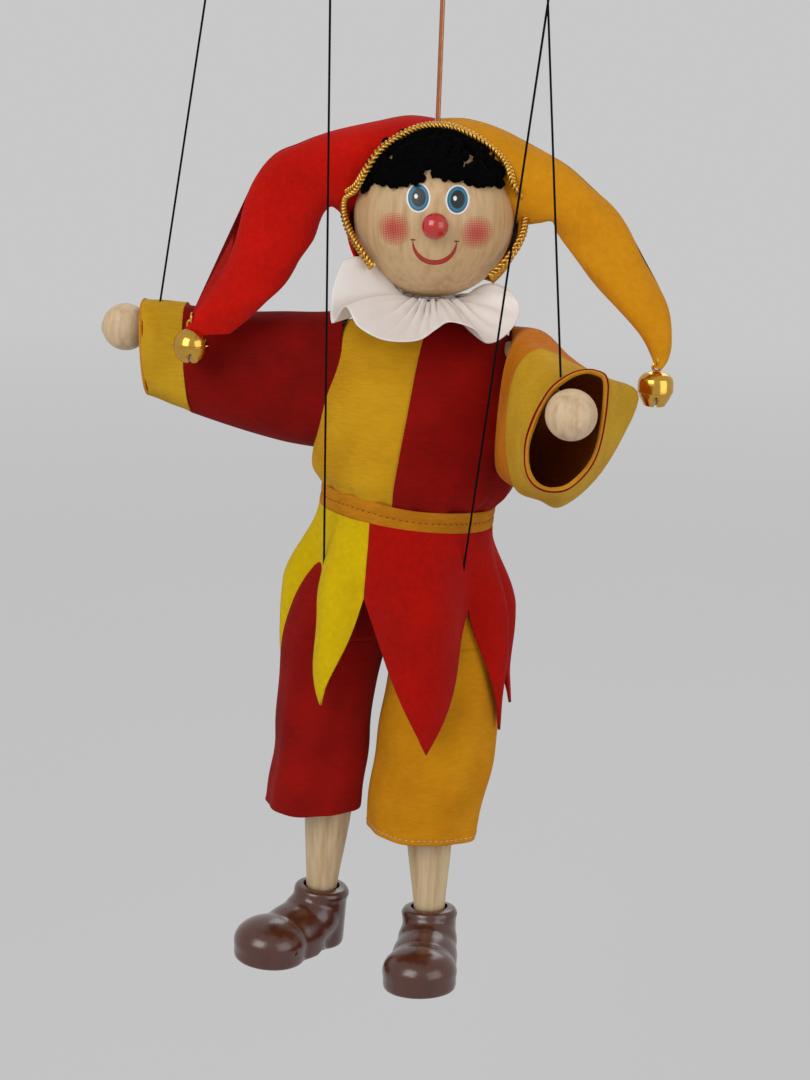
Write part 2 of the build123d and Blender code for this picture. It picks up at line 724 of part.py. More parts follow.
hat_inner = head_r + gap
hat_outer = hat_inner + felt
with BuildPart() as hat:
    with Locations(head_at):
        Sphere(hat_outer)
        Sphere(hat_inner, mode=Mode.SUBTRACT)
        Cylinder(wire_hole + 0.4, head_d * 1.2, mode=Mode.SUBTRACT)
    with Locations(head_at + Vector(0, hat_front_y, 0)):
        Box(head_d * 2, head_d, head_d * 2, align=(Align.CENTER, Align.MAX, Align.CENTER), mode=Mode.SUBTRACT)
    with Locations(head_at + Vector(0, 0, -hat_hem_drop)):
        Box(head_d * 2, head_d * 2, head_d, align=(Align.CENTER, Align.CENTER, Align.MAX), mode=Mode.SUBTRACT)
finish(hat.part, "hat")

braid_r = braid_d / 2
braid_y = hat_front_y - gap - braid_r
braid_ring_r = (head_r**2 - braid_y**2) ** 0.5 + gap + braid_r
with BuildPart() as hat_braid:
    with Locations(Plane(origin=head_at + Vector(0, braid_y, 0), z_dir=(0, 1, 0))):
        Torus(braid_ring_r, braid_r)
    with Locations(head_at + Vector(0, 0, -hat_hem_drop)):
        Box(head_d * 2, head_d * 2, head_d, align=(Align.CENTER, Align.CENTER, Align.MAX), mode=Mode.SUBTRACT)
finish(hat_braid.part, "hat_braid")

hair_y = braid_y - braid_r - gap
with BuildPart() as hair:
    with Locations(head_at):
        Sphere(hat_inner + hair_thickness)
        Sphere(hat_inner, mode=Mode.SUBTRACT)
    with Locations(head_at + Vector(0, hair_y, hair_line)):
        Box(head_d, head_d, head_d, align=(Align.CENTER, Align.MAX, Align.MIN), mode=Mode.INTERSECT)
finish(hair.part, "hair")

# Each horn: (x, y, z, half width, half thickness, heading in the XZ plane), from the head's centre.
horns = {
    "right": [
        (-27.0, 0.0, 17.0, 13.0, 9.0, 180.0),
        (-42.0, -2.0, 15.0, 15.0, 9.5, 200.0),
        (-55.0, -5.0, 3.0, 14.5, 8.5, 230.0),
        (-65.0, -8.0, -14.0, 12.0, 7.5, 242.0),
        (-73.0, -11.0, -28.0, 11.5, 6.5, 250.0),
        (-77.0, -13.0, -36.5, 13.5, 5.0, 276.0),
    ],
    "left": [
        (27.0, 0.0, 15.0, 13.0, 9.0, 0.0),
        (40.0, -3.0, 12.0, 13.5, 9.5, -20.0),
        (54.0, -8.0, 2.5, 11.5, 8.5, -45.0),
        (67.5, -13.0, -13.0, 10.5, 7.5, -53.0),
        (79.0, -20.0, -30.0, 8.0, 6.0, -62.0),
        (83.0, -25.0, -40.0, 5.0, 4.5, -75.0),
        (83.5, -28.0, -46.0, 2.5, 2.5, -90.0),
    ],
}
bell_pivot = {
    "right": head_at + Vector(-88.5, -14.0, -41.6),
    "left": head_at + Vector(83.5, -28.0, -48.8),
}
bell_r = bell_d / 2
tip_ring_r = 1.8
tip_wire_r = thread_d / 2
loop_ring_r = 1.5
loop_wire_r = 0.5

for side in sides:
    with BuildPart() as horn:
        for x, y, z, half_width, half_thickness, heading in horns[side]:
            forward = Vector(cos(radians(heading)), 0, sin(radians(heading)))
            with BuildSketch(Plane(origin=head_at + Vector(x, y, z), x_dir=(0, 1, 0), z_dir=forward)):
                Ellipse(half_thickness, half_width)
        loft()
        with Locations(head_at):
            Sphere(braid_ring_r + braid_r + 1.2, mode=Mode.SUBTRACT)
        with Locations(bell_pivot[side] + Vector(0, 0, tip_wire_r)):
            Box(30.0, 30.0, 30.0, align=(Align.CENTER, Align.CENTER, Align.MAX), mode=Mode.SUBTRACT)
    finish(horn.part, f"horn_{side}")

    with BuildPart() as tip_loop:
        with Locations(Plane(origin=bell_pivot[side] + Vector(0, 0, tip_ring_r), z_dir=(1, 0, 0))):
            Torus(tip_ring_r, tip_wire_r)
    finish(tip_loop.part, f"tip_loop_{side}")

    loop_at = bell_pivot[side] - Vector(0, 0, loop_ring_r - tip_wire_r - loop_wire_r - 0.1)
    bell_at = loop_at - Vector(0, 0, loop_ring_r + bell_r - 0.1)
    with BuildPart() as bell:
        with Locations(bell_at):
            Sphere(bell_r)
        with Locations(Plane(origin=loop_at, z_dir=(0, 1, 0))):
            Torus(loop_ring_r, loop_wire_r)
        with Locations(bell_at):
            Sphere(bell_r - bell_wall, mode=Mode.SUBTRACT)
        with Locations(bell_at - Vector(0, 0, bell_r)):
            Box(1.6, bell_d * 0.8, bell_r, mode=Mode.SUBTRACT)
    finish(bell.part, f"bell_{side}")

    with BuildPart() as pea:
        with Locations(bell_at - Vector(0, 0, bell_r - bell_wall - pea_d / 2 - 0.15)):
            Sphere(pea_d / 2)
    finish(pea.part, f"bell_pea_{side}")

# ---------------------------------------------------------------- joint places, in metres
for side in sides:
    frame = leg_frame(side)
    knee_at = frame.origin - frame.z_dir * thigh_length
    lift = torso.z_dir.cross(unit(arm_heading[side], -arm_droop[side])).normalized()
    for label, place, axis in (
        ("arm", shoulder_pivot[side], lift),
        ("hip", frame.origin, frame.x_dir),
        ("knee", knee_at, frame.x_dir),
        ("bell", bell_pivot[side], Vector(0, 1, 0)),
    ):
        spot = [round(value / 1000, 6) for value in tuple(place)]
        print(f"{label}_{side}", spot, [round(value, 6) for value in tuple(axis)])
print("mount length", spine_width, "bar_bottom", bar_bottom, "torso top", torso_top)
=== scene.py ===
import math
import random

import bpy
from mathutils import Matrix, Vector


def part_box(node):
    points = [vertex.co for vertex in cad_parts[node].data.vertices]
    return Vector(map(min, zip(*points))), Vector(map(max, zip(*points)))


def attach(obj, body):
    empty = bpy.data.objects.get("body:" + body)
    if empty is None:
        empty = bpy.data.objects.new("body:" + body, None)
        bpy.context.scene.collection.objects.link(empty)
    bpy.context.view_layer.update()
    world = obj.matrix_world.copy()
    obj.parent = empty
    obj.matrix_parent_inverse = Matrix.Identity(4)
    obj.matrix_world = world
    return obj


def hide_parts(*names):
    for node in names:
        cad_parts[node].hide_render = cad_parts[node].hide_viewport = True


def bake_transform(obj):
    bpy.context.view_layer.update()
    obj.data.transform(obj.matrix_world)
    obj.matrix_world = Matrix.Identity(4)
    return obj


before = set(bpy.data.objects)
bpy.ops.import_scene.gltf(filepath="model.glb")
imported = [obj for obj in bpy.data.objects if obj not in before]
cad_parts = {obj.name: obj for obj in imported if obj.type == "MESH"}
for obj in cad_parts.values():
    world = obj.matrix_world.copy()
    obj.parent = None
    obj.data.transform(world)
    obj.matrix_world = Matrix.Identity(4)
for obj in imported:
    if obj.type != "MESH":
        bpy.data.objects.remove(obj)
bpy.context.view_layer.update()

random.seed(7)
mm = 0.001
sides = {"right": -1, "left": 1}


def vec(x, y, z):
    return Vector((x, y, z)) * mm


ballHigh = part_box("head_ball")[1]
headR = 30 * mm
headCentre = Vector((0, 0, ballHigh.z - headR))
torso = {"top": vec(1.5, 0, -155.4), "across": Vector((0.99488, 0, -0.10106)),
         "up": Vector((0.10106, 0, 0.99488))}


def onTorso(x, y, z):
    return torso["top"] + (torso["across"] * x + Vector((0, 1, 0)) * y + torso["up"] * z) * mm


def fromHead(x, y, z):
    return headCentre + vec(x, y, z)


# ---- small modelling helpers

def deselect():
    if bpy.context.object and bpy.context.object.mode != "OBJECT":
        bpy.ops.object.mode_set(mode="OBJECT")
    bpy.ops.object.select_all(action="DESELECT")


def pick(*pieces):
    deselect()
    for piece in pieces:
        piece.select_set(True)
    bpy.context.view_layer.objects.active = pieces[0]
    return pieces[0]


def named(name):
    piece = bpy.context.object
    piece.name = name
    piece.data.name = name
    return piece


def modify(piece, kind, **settings):
    pick(piece)
    modifier = piece.modifiers.new(kind.title(), kind)
    for key, value in settings.items():
        setattr(modifier, key, value)
    bpy.ops.object.modifier_apply(modifier=modifier.name)


def settle(piece):  # place goes into the mesh, the object stays at the origin
    pick(piece)
    bpy.ops.object.transform_apply(location=True, rotation=True, scale=True)
    return piece


def mend(piece, merge=1e-6):  # closed seams, faces outwards
    pick(piece)
    bpy.ops.object.mode_set(mode="EDIT")
    bpy.ops.mesh.select_all(action="SELECT")
    bpy.ops.mesh.remove_doubles(threshold=merge)
    bpy.ops.mesh.normals_make_consistent(inside=False)
    bpy.ops.object.mode_set(mode="OBJECT")
    return piece


def smooth(piece, angle=None):
    pick(piece)
    if angle is None:
        bpy.ops.object.shade_smooth()
    else:
        bpy.ops.object.shade_smooth_by_angle(angle=math.radians(angle))
    return piece


def join(pieces, name):
    pick(*pieces)
    bpy.ops.object.join()
    return named(name)


def copyOf(piece, move):
    twin = piece.copy()
    twin.data = piece.data.copy()
    bpy.context.scene.collection.objects.link(twin)
    twin.data.transform(move)
    return twin


def spread(piece, moves, name):  # one small shape copied to many places
    twins = [copyOf(piece, move) for move in moves]
    bpy.data.objects.remove(piece)
    return join(twins, name)


def catmull(points, t, closed=False):
    count = len(points)
    spans = count if closed else count - 1
    place = min(max(t, 0), 1) * spans
    start = min(int(place), spans - 1)
    f = place - start

    def at(i):
        return points[i % count] if closed else points[min(max(i, 0), count - 1)]

    a, b, c, d = at(start - 1), at(start), at(start + 1), at(start + 2)
    return 0.5 * (2 * b + (c - a) * f + (2 * a - 5 * b + 4 * c - d) * f * f
                  + (3 * b - a - 3 * c + d) * f ** 3)


def oval(centre, halfAcross, halfUp, count=12, bulge=1.0):
    ring = []
    for i in range(count):
        turn = 2 * math.pi * i / count
        c, s = math.cos(turn), math.sin(turn)
        across = halfAcross * math.copysign(abs(c) ** bulge, c)
        ring.append(centre + across + halfUp * math.copysign(abs(s) ** bulge, s))
    return ring


def skinPoint(rings, u, v, closed=True):
    return catmull([catmull(ring, u, closed) for ring in rings], v)


def clothGrid(name, columns, rows, shape, closed=True, wall=0.7, inward=True, flip=False):
    # a flat grid of cloth moved onto its shape, then given its thickness
    deselect()
    bpy.ops.mesh.primitive_grid_add(x_subdivisions=columns, y_subdivisions=rows, size=2)
    piece = named(name)
    for vertex in piece.data.vertices:
        vertex.co = shape((vertex.co.x + 1) / 2, (vertex.co.y + 1) / 2)
    if closed:
        mend(piece)
    elif flip:
        pick(piece)
        bpy.ops.object.mode_set(mode="EDIT")
        bpy.ops.mesh.select_all(action="SELECT")
        bpy.ops.mesh.flip_normals()
        bpy.ops.object.mode_set(mode="OBJECT")
    if wall:
        modify(piece, "SOLIDIFY", thickness=wall * mm, offset=-1 if inward else 1, use_even_offset=False)
    return smooth(piece)


def lathe(name, profile, centre, axis, steps=40, angle=None):
    # a circle extruded and scaled station by station, as (distance along the axis, radius) in mm
    deselect()
    bpy.ops.mesh.primitive_circle_add(vertices=steps, radius=profile[0][1] * mm,
                                      location=(0, 0, profile[0][0] * mm))
    piece = settle(named(name))
    bpy.ops.object.mode_set(mode="EDIT")
    bpy.ops.mesh.select_all(action="SELECT")
    for (low, before), (high, after) in zip(profile, profile[1:]):
        bpy.ops.mesh.extrude_region_move(TRANSFORM_OT_translate={"value": (0, 0, (high - low) * mm)})
        bpy.ops.transform.resize(value=(after / before, after / before, 1),
                                 center_override=(0, 0, high * mm))
    bpy.ops.mesh.edge_face_add()
    bpy.ops.mesh.select_all(action="SELECT")
    bpy.ops.mesh.region_to_loop()
    bpy.ops.mesh.edge_face_add()
    bpy.ops.object.mode_set(mode="OBJECT")
    mend(piece, 1e-7)
    piece.data.transform(Matrix.Translation(centre) @ axis.to_track_quat("Z", "X").to_matrix().to_4x4())
    return smooth(piece, angle) if angle else smooth(piece)


def tube(name, points, radius, keepCurve=False, sidesAround=3):
    line = bpy.data.curves.new(name, "CURVE")
    line.dimensions = "3D"
    spline = line.splines.new("NURBS")
    spline.points.add(len(points) - 1)
    for spot, point in zip(spline.points, points):
        spot.co = (*point, 1)
    spline.order_u = 3
    spline.use_endpoint_u = True
    spline.resolution_u = 12 if keepCurve else 4
    line.bevel_depth = radius
    line.bevel_resolution = sidesAround
    line.use_fill_caps = True
    piece = bpy.data.objects.new(name, line)
    bpy.context.scene.collection.objects.link(piece)
    if not keepCurve:
        pick(piece)
        bpy.ops.object.convert(target="MESH")
        piece = smooth(named(name))
    return piece


# ---- shader helpers

def tone(code):  # a hex colour as linear light
    parts = [int(code[i:i + 2], 16) / 255 for i in (0, 2, 4)]
    return (*[c / 12.92 if c <= 0.04045 else ((c + 0.055) / 1.055) ** 2.4 for c in parts], 1)


class Wire:
    def __init__(self, finish, socket):
        self.finish, self.socket = finish, socket

    def math(self, operation, first, second=0.0):
        return self.finish.node("ShaderNodeMath", {"operation": operation}, {0: first, 1: second})

    def __add__(self, other):
        return self.math("ADD", self, other)

    def __radd__(self, other):
        return self.math("ADD", other, self)

    def __sub__(self, other):
        return self.math("SUBTRACT", self, other)

    def __rsub__(self, other):
        return self.math("SUBTRACT", other, self)

    def __mul__(self, other):
        return self.math("MULTIPLY", self, other)

    def __rmul__(self, other):
        return self.math("MULTIPLY", other, self)

    def __truediv__(self, other):
        return self.math("DIVIDE", self, other)

    def __pow__(self, other):
        return self.math("POWER", self, other)

    def __lt__(self, other):
        return self.math("LESS_THAN", self, other)

    def __gt__(self, other):
        return self.math("GREATER_THAN", self, other)

    def fract(self):
        return self.math("FRACT", self)

    def root(self):
        return self.math("SQRT", self)

    def size(self):
        return self.math("ABSOLUTE", self)

    def wave(self):
        return self.math("SINE", self)

    def clamped(self):
        return self.finish.node("ShaderNodeClamp", {}, {0: self})


class Finish:
    def __init__(self, name, base, roughness=0.6, **sockets):
        self.material = bpy.data.materials.new(name)
        self.material.use_nodes = True
        self.tree = self.material.node_tree
        self.shader = self.tree.nodes["Principled BSDF"]
        self.shader.inputs["Base Color"].default_value = tone(base) if isinstance(base, str) else base
        self.shader.inputs["Roughness"].default_value = roughness
        for key, value in sockets.items():
            self.shader.inputs[key.replace("_", " ")].default_value = value
        self.place = self.node("ShaderNodeTexCoord", output="Object")

    def node(self, kind, settings=None, sockets=None, output=0):
        made = self.tree.nodes.new(kind)
        for key, value in (settings or {}).items():
            setattr(made, key, value)
        for key, value in (sockets or {}).items():
            self.feed(made.inputs[key], value)
        return Wire(self, made.outputs[output])

    def feed(self, socket, value):
        if isinstance(value, Wire):
            self.tree.links.new(value.socket, socket)
        else:
            socket.default_value = value

    def set(self, socket, value):
        self.feed(self.shader.inputs[socket], value)

    def mix(self, factor, first, second):
        first, second = (tone(c) if isinstance(c, str) else c for c in (first, second))
        return self.node("ShaderNodeMix", {"data_type": "RGBA"}, {0: factor, 6: first, 7: second}, output=2)

    def mapped(self, scale, turn=(0, 0, 0), shift=(0, 0, 0), source=None):
        return self.node("ShaderNodeMapping", {}, {"Vector": source or self.place, "Scale": scale,
                                                   "Rotation": turn, "Location": shift})

    def noise(self, scale, detail=3.0, vector=None, rough=0.5):
        return self.node("ShaderNodeTexNoise", {}, {"Vector": vector or self.place, "Scale": scale,
                                                    "Detail": detail, "Roughness": rough})

    def axes(self, vector=None):
        split = self.tree.nodes.new("ShaderNodeSeparateXYZ")
        self.tree.links.new((vector or self.place).socket, split.inputs[0])
        return [Wire(self, out) for out in split.outputs]

    def bump(self, height, strength=0.3, distance=0.0003):
        self.set("Normal", self.node("ShaderNodeBump", {},
                                     {"Height": height, "Strength": strength, "Distance": distance}))

    def paint(self, *pieces):
        for piece in pieces:
            piece.data.materials.clear()
            piece.data.materials.append(self.material)


def wood(name, light, dark, roughness=0.55, turn=(0, 0, 0), coat=0.0, grain=1.0):
    finish = Finish(name, light, roughness, Coat_Weight=coat, Coat_Roughness=0.2)
    lengthwise = finish.mapped((420, 420, 26), turn)
    streak = finish.noise(1.0, 4, lengthwise, 0.6)
    pores = finish.noise(1.0, 2, finish.mapped((2600, 2600, 120), turn))
    band = finish.noise(1.0, 2, finish.mapped((120, 120, 9), turn))
    tint = ((streak - 0.42) * 2.2 * grain + (band - 0.5) * 0.9
            + ((0.42 - pores) * 1.5).clamped() * 0.5).clamped()
    finish.set("Base Color", finish.mix(tint, light, dark))
    finish.set("Roughness", tint * 0.12 + (roughness - 0.05))
    finish.bump(streak * 0.5 + pores * 0.5, 0.16, 0.0002)
    return finish


def weave(name, base, deep, pitch=0.42, sheen=0.03, roughness=0.85, strength=0.35):
    # plain weave laid out in metres through the piece, with slubs and soft blotches of lighter and darker
    # tone, about the size of the folds, over it
    finish = Finish(name, base, roughness, Sheen_Weight=sheen, Sheen_Roughness=0.5, Specular_IOR_Level=0.1)
    x, y, z = finish.axes()
    step = math.pi / (pitch * mm)
    over = (((x + y) * step).wave() * (z * step).wave() + 1) * 0.5
    slub = finish.noise(1.0, 3, finish.mapped((260, 260, 1500)))
    soft = finish.noise(55, 3)
    shade = ((slub - 0.5) * 0.7 + (soft - 0.5) * 1.1 + over * 0.22 + 0.25).clamped()
    finish.set("Base Color", finish.mix(shade, deep, base))
    finish.bump(over * 0.6 + slub * 0.4, strength, 0.00012)
    return finish


def felt(name, base, deep, fuzz=0.04):
    finish = Finish(name, base, 0.95, Sheen_Weight=fuzz, Sheen_Roughness=0.6, Specular_IOR_Level=0.06)
    fibres = finish.noise(2400, 4, rough=0.7)
    clumps = finish.noise(420, 4, rough=0.65)
    wide = finish.noise(45, 2)
    shade = ((fibres - 0.5) * 0.9 + (clumps - 0.5) * 0.9 + (wide - 0.5) * 0.8 + 0.6).clamped()
    finish.set("Base Color", finish.mix(shade, deep, base))
    finish.bump(fibres * 0.5 + clumps * 0.5, 0.5, 0.00035)
    return finish


def metal(name, base, dark, roughness=0.22, wear=0.3):
    finish = Finish(name, base, roughness, Metallic=1.0)
    stain = finish.noise(260, 4)
    scratch = finish.noise(1.0, 2, finish.mapped((900, 900, 5000)))
    finish.set("Base Color", finish.mix(((stain - 0.45) * 2 * wear).clamped(), base, dark))
    finish.set("Roughness", (stain - 0.4) * 0.25 + roughness)
    finish.bump(scratch, 0.06, 0.0001)
    return finish


# ---- camera and strings come first

camera = bpy.data.objects.new("camera", bpy.data.cameras.new("camera"))
bpy.context.scene.collection.objects.link(camera)
bpy.context.scene.camera = camera
view = {"place": (-0.0062, -0.8571, -0.0359), "down": 13.5, "roll": 2.2, "lens": 76.17}
down, roll = math.radians(view["down"]), math.radians(view["roll"])
ahead = Vector((0, math.cos(down), -math.sin(down)))
level = Vector((0, math.sin(down), math.cos(down)))
right = Vector((1, 0, 0)) * math.cos(roll) + level * math.sin(roll)
upward = Vector((-1, 0, 0)) * math.sin(roll) + level * math.cos(roll)
turned = Matrix((right, upward, -ahead)).transposed().to_4x4()
camera.matrix_world = Matrix.Translation(view["place"]) @ turned
camera.data.sensor_width = 36
camera.data.lens = view["lens"]
camera.data.clip_start, camera.data.clip_end = 0.01, 60

thread = Finish("blackThread", "060607", 0.85, Specular_IOR_Level=0.1)
twist = thread.noise(1.0, 2, thread.mapped((3000, 3000, 1400), (0.5, 0, 0)))
thread.set("Base Color", thread.mix(twist, "020203", "0e0e11"))
thread.bump(twist, 0.5, 0.0002)

strings = {
    "hand_string_right": {"route": [(-83, -16, -12.7), (-83, -16, -25.7), (-104.81, 11.16, -167.64)],
                          "body": "arm_right"},
    "hand_string_left": {"route": [(36.5, -16, -12.7), (36.5, -16, -25.7), (46.47, -77.10, -176.67)],
                         "body": "arm_left"},
    "knee_string_right": {"route": [(-38.5, -70, -12.7), (-38.5, -70, -25.7), (-36.10, -9.88, -288.44)],
                          "body": "thigh_right"},
    "knee_string_left": {"route": [(36, -70, -12.7), (36, -70, -25.7), (12.34, -13.34, -290.70)],
                         "body": "thigh_left"},
    "thickness": 0.8,
    "knot": 2.6,
}


def knot(name, centre, axis, size):  # an overhand knot: three turns of the same thread pulled together
    turns = []
    for i, (a, b) in enumerate(((0.5, 0.1), (-0.6, 0.5), (0.2, -0.9))):
        deselect()
        bpy.ops.mesh.primitive_torus_add(
            major_segments=20, minor_segments=8, major_radius=size * 0.27 * mm,
            minor_radius=size * 0.2 * mm, rotation=(a, b, i)
        )
        turns.append(settle(named(name + str(i))))
    piece = join(turns, name)
    piece.data.transform(Matrix.Translation(centre) @ axis.to_track_quat("Z", "X").to_matrix().to_4x4())
    return smooth(piece)


def tiedString(node):
    top, bend, end = [vec(*point) for point in strings[node]["route"]]
    radius = strings["thickness"] / 2 * mm
    near = bend + (end - bend).normalized() * 6 * strings["thickness"] * mm
    label = node.split("_")[0] + "String" + node.split("_")[2].title()
    line = tube(label + "Line", [top, bend, near, end], 0, keepCurve=True)
    path = bpy.data.meshes.new_from_object(line)
    points = [vertex.co.copy() for vertex in path.vertices]
    bpy.data.objects.remove(line)
    piece = tube(label, [top, bend, near, end], radius, keepCurve=True)
    pick(piece)
    bpy.ops.object.convert(target="MESH")
    piece = named(label)
    modify(piece, "SUBSURF", levels=1, render_levels=1, subdivision_type="SIMPLE")
    smooth(piece)
    half = strings["knot"] / 2 * mm
    upper = knot(label + "TopKnot", top + Vector((0, 0, half)), Vector((0, 0, 1)), strings["knot"])
    lower = knot(label + "EndKnot", end + (end - near).normalized() * half, end - near, strings["knot"])
    thread.paint(piece, upper, lower)
    length = sum((b - a).length for a, b in zip(points, points[1:]))
    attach(upper, "root")
    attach(lower, strings[node]["body"])
    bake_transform(piece)
    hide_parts(node)


for node in [key for key in strings if "string" in key]:
    tiedString(node)
print("strings done")

# ---- finishes

paleWood = wood("paleWood", "d9bd98", "b28d63")
turnedWood = wood("turnedWood", "d6bc94", "ab8559")
controlWood = wood("controlWood", "cfae80", "a27b4c", turn=(math.pi / 2, 0, 0))
barWood = wood("barWood", "cbaa7c", "9c7647", turn=(0, math.pi / 2, 0))
pegWood = wood("pegWood", "c9a878", "94703f")
shoeWood = wood("shoeWood", "522515", "341208", roughness=0.3, coat=0.6, grain=0.7)
copperWire = metal("copperWire", "b3714d", "5c3524", 0.3)
steelWire = metal("steelWire", "b9b6b0", "6e6963", 0.3)
brass = metal("bellBrass", "d8a84a", "8a5f1c", 0.16)
goldYarn = metal("goldYarn", "dcae52", "8d6420", 0.34, wear=0.8)
redGloss = Finish("noseLacquer", "c01a12", 0.22, Coat_Weight=0.8, Coat_Roughness=0.08)
redGloss.bump(redGloss.noise(300, 2), 0.05, 0.0002)
redGloss.set("Base Color", redGloss.mix(redGloss.noise(180, 2), "a8140d", "cf2418"))
hatRed = felt("hatRed", "d01508", "a00a02")
hatYellow = felt("hatYellow", "e09a18", "c27c0c")
feltRed = felt("feltRed", "b90f05", "860702")
feltYellow = felt("feltYellow", "e0be06", "b89602")
shirtYellow = weave("shirtYellow", "dfab1e", "b98410")
shirtRed = weave("shirtRed", "a60d05", "740703")
sleeveRed = weave("sleeveRed", "9c0b05", "6a0603")
sleeveOrange = weave("sleeveOrange", "e08a0e", "b76405")
cuffYellow = weave("cuffYellow", "dcb02a", "b98813")
shortsRed = weave("shortsRed", "a60e06", "740803")
shortsOrange = weave("shortsOrange", "e09c12", "bb7607")
beltTape = weave("beltTape", "d38d1b", "a9650c", pitch=0.6)
stitchThread = weave("stitchThread", "e9dccb", "bda98e", pitch=0.3)
darkStitch = weave("darkStitch", "96560c", "6d3b06", pitch=0.3)
rolledEdge = weave("rolledEdge", "e6a23a", "b96f14", pitch=0.5)
satin = Finish("ruffSatin", "ece4df", 0.38, Sheen_Weight=0.4, Coat_Weight=0.15)
sx, sy = satin.axes()[:2]
ribs = ((((sx * 0.7 + sy * 0.7) * (math.pi / (0.55 * mm))).wave() + 1) * 0.5)
satin.set("Base Color", satin.mix(satin.noise(60, 2), "e4d8d1", "f3eeeb"))
satin.bump(ribs * 0.4 + satin.noise(1500, 2) * 0.3, 0.18, 0.00012)
plush = Finish("hairPlush", "050506", 0.98, Specular_IOR_Level=0.03)
curl = plush.noise(1400, 4, rough=0.7)
plush.set("Base Color", plush.mix(curl, "010101", "0c0c0e"))
plush.bump(curl, 0.8, 0.0006)


def paintedFace():
    # natural wood with the painted eyes, cheeks and mouth, all laid out in mm from the ball's centre
    finish = wood("paintedFace", "d2b184", "b28b5c", roughness=0.5, coat=0.06)
    bare = finish.shader.inputs["Base Color"].links[0].from_socket
    colour = Wire(finish, bare)
    centred = finish.mapped((1000, 1000, 1000), shift=tuple(-1000 * c for c in headCentre))
    x, y, z = finish.axes(centred)
    front = y < -4

    def oval2d(cx, cz, rx, rz):  # 1 inside, 0 outside, with a soft painted edge
        spread2 = ((((x - cx) / rx) ** 2 + ((z - cz) / rz) ** 2).root())
        return (((1 - spread2) * min(rx, rz) * 5).clamped()) * front

    cheeks = ((-14.5, -2.8), (15.6, -3.1))
    pitch, reach = 0.62, 6.6
    gx, gz = (x / pitch).fract() - 0.5, (z / pitch).fract() - 0.5
    cell = (gx * gx + gz * gz).root()
    for cx, cz in cheeks:
        away = ((((x - cx) * (x - cx) + (z - cz) * (z - cz)).root()) / reach)
        dots = (((0.82 - away * away * 0.5) * 0.72 - cell)
                * 8).clamped() * (((1 - away) * 9).clamped()) * front
        colour = finish.mix((1 - away).clamped() * 0.55 * front, colour, "cf5048")
        colour = finish.mix(dots * 0.9, colour, "b8201c")
    for cx, cz in ((-6.1, 8.9), (8.0, 8.7)):
        for dx, dz, rx, rz, shade in (
            (0, 0, 4.45, 5.25, "e9ecee"), (0, 0, 3.85, 4.75, "12506e"), (0, 0.2, 3.45, 4.3, "1f7391"),
            (0.1, 0.1, 2.65, 3.35, "0a0a0c"), (-0.9, 0.5, 0.75, 0.95, "f4f2ec"),
        ):
            colour = finish.mix(oval2d(cx + dx, cz + dz, rx, rz), colour, shade)
    mx, mz, bend = 0.4, -6.4, 7.9
    depth = ((mz - z) / bend).clamped()
    away = (((x - mx) * (x - mx) + (z - mz) * (z - mz)).root() - bend).size()
    below = (z < mz) * front
    colour = finish.mix((((depth ** 0.7) * 0.95 + 0.1 - away) * 5).clamped() * below, colour, "7d120c")
    colour = finish.mix((((depth ** 0.7) * 0.68 - 0.05 - away) * 5).clamped() * below, colour, "c02a20")
    for cx, cz in ((mx - bend, mz + 0.2), (mx + bend, mz + 0.2)):
        colour = finish.mix(oval2d(cx, cz, 1.25, 0.42), colour, "5a2013")
    finish.set("Base Color", colour)
    return finish


facePaint = paintedFace()
print("finishes done")

# ---- head

def ball(name, centre, radius, around=64, up=40):
    deselect()
    bpy.ops.mesh.primitive_uv_sphere_add(segments=around, ring_count=up, radius=radius, location=centre)
    return smooth(settle(named(name)))


head = ball("headBall", headCentre, headR, 96, 64)
bpy.ops.object.mode_set(mode="EDIT")  # flat under the chin, where the neck bead sits
bpy.ops.mesh.select_all(action="SELECT")
bpy.ops.mesh.bisect(plane_co=headCentre - vec(0, 0, 29.3), plane_no=(0, 0, 1), use_fill=True,
                    clear_inner=True)
bpy.ops.object.mode_set(mode="OBJECT")
smooth(head, 50)
facePaint.paint(head)
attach(head, "head")
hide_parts("head_ball")

noseShape = {"r": 4.9, "place": (0.3, -32.6, -0.6), "squash": 0.94}
nose = ball("noseBall", (0, 0, 0), noseShape["r"] * mm, 40, 28)
bpy.ops.object.mode_set(mode="EDIT")
bpy.ops.mesh.select_all(action="SELECT")
bpy.ops.transform.resize(value=(1, noseShape["squash"], 1), center_override=(0, 0, 0))
bpy.ops.mesh.bisect(plane_co=vec(0, 3.6, 0), plane_no=(0, 1, 0), use_fill=True, clear_outer=True)
bpy.ops.object.mode_set(mode="OBJECT")
nose.data.transform(Matrix.Translation(fromHead(*noseShape["place"])))
smooth(nose, 50)
redGloss.paint(nose)
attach(nose, "head")
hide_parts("nose")

# ---- hat: a hood in two colours, each half running into its horn

hood = {"r": 32.6, "front": -4.5, "hem": -24.0, "wall": 1.1}


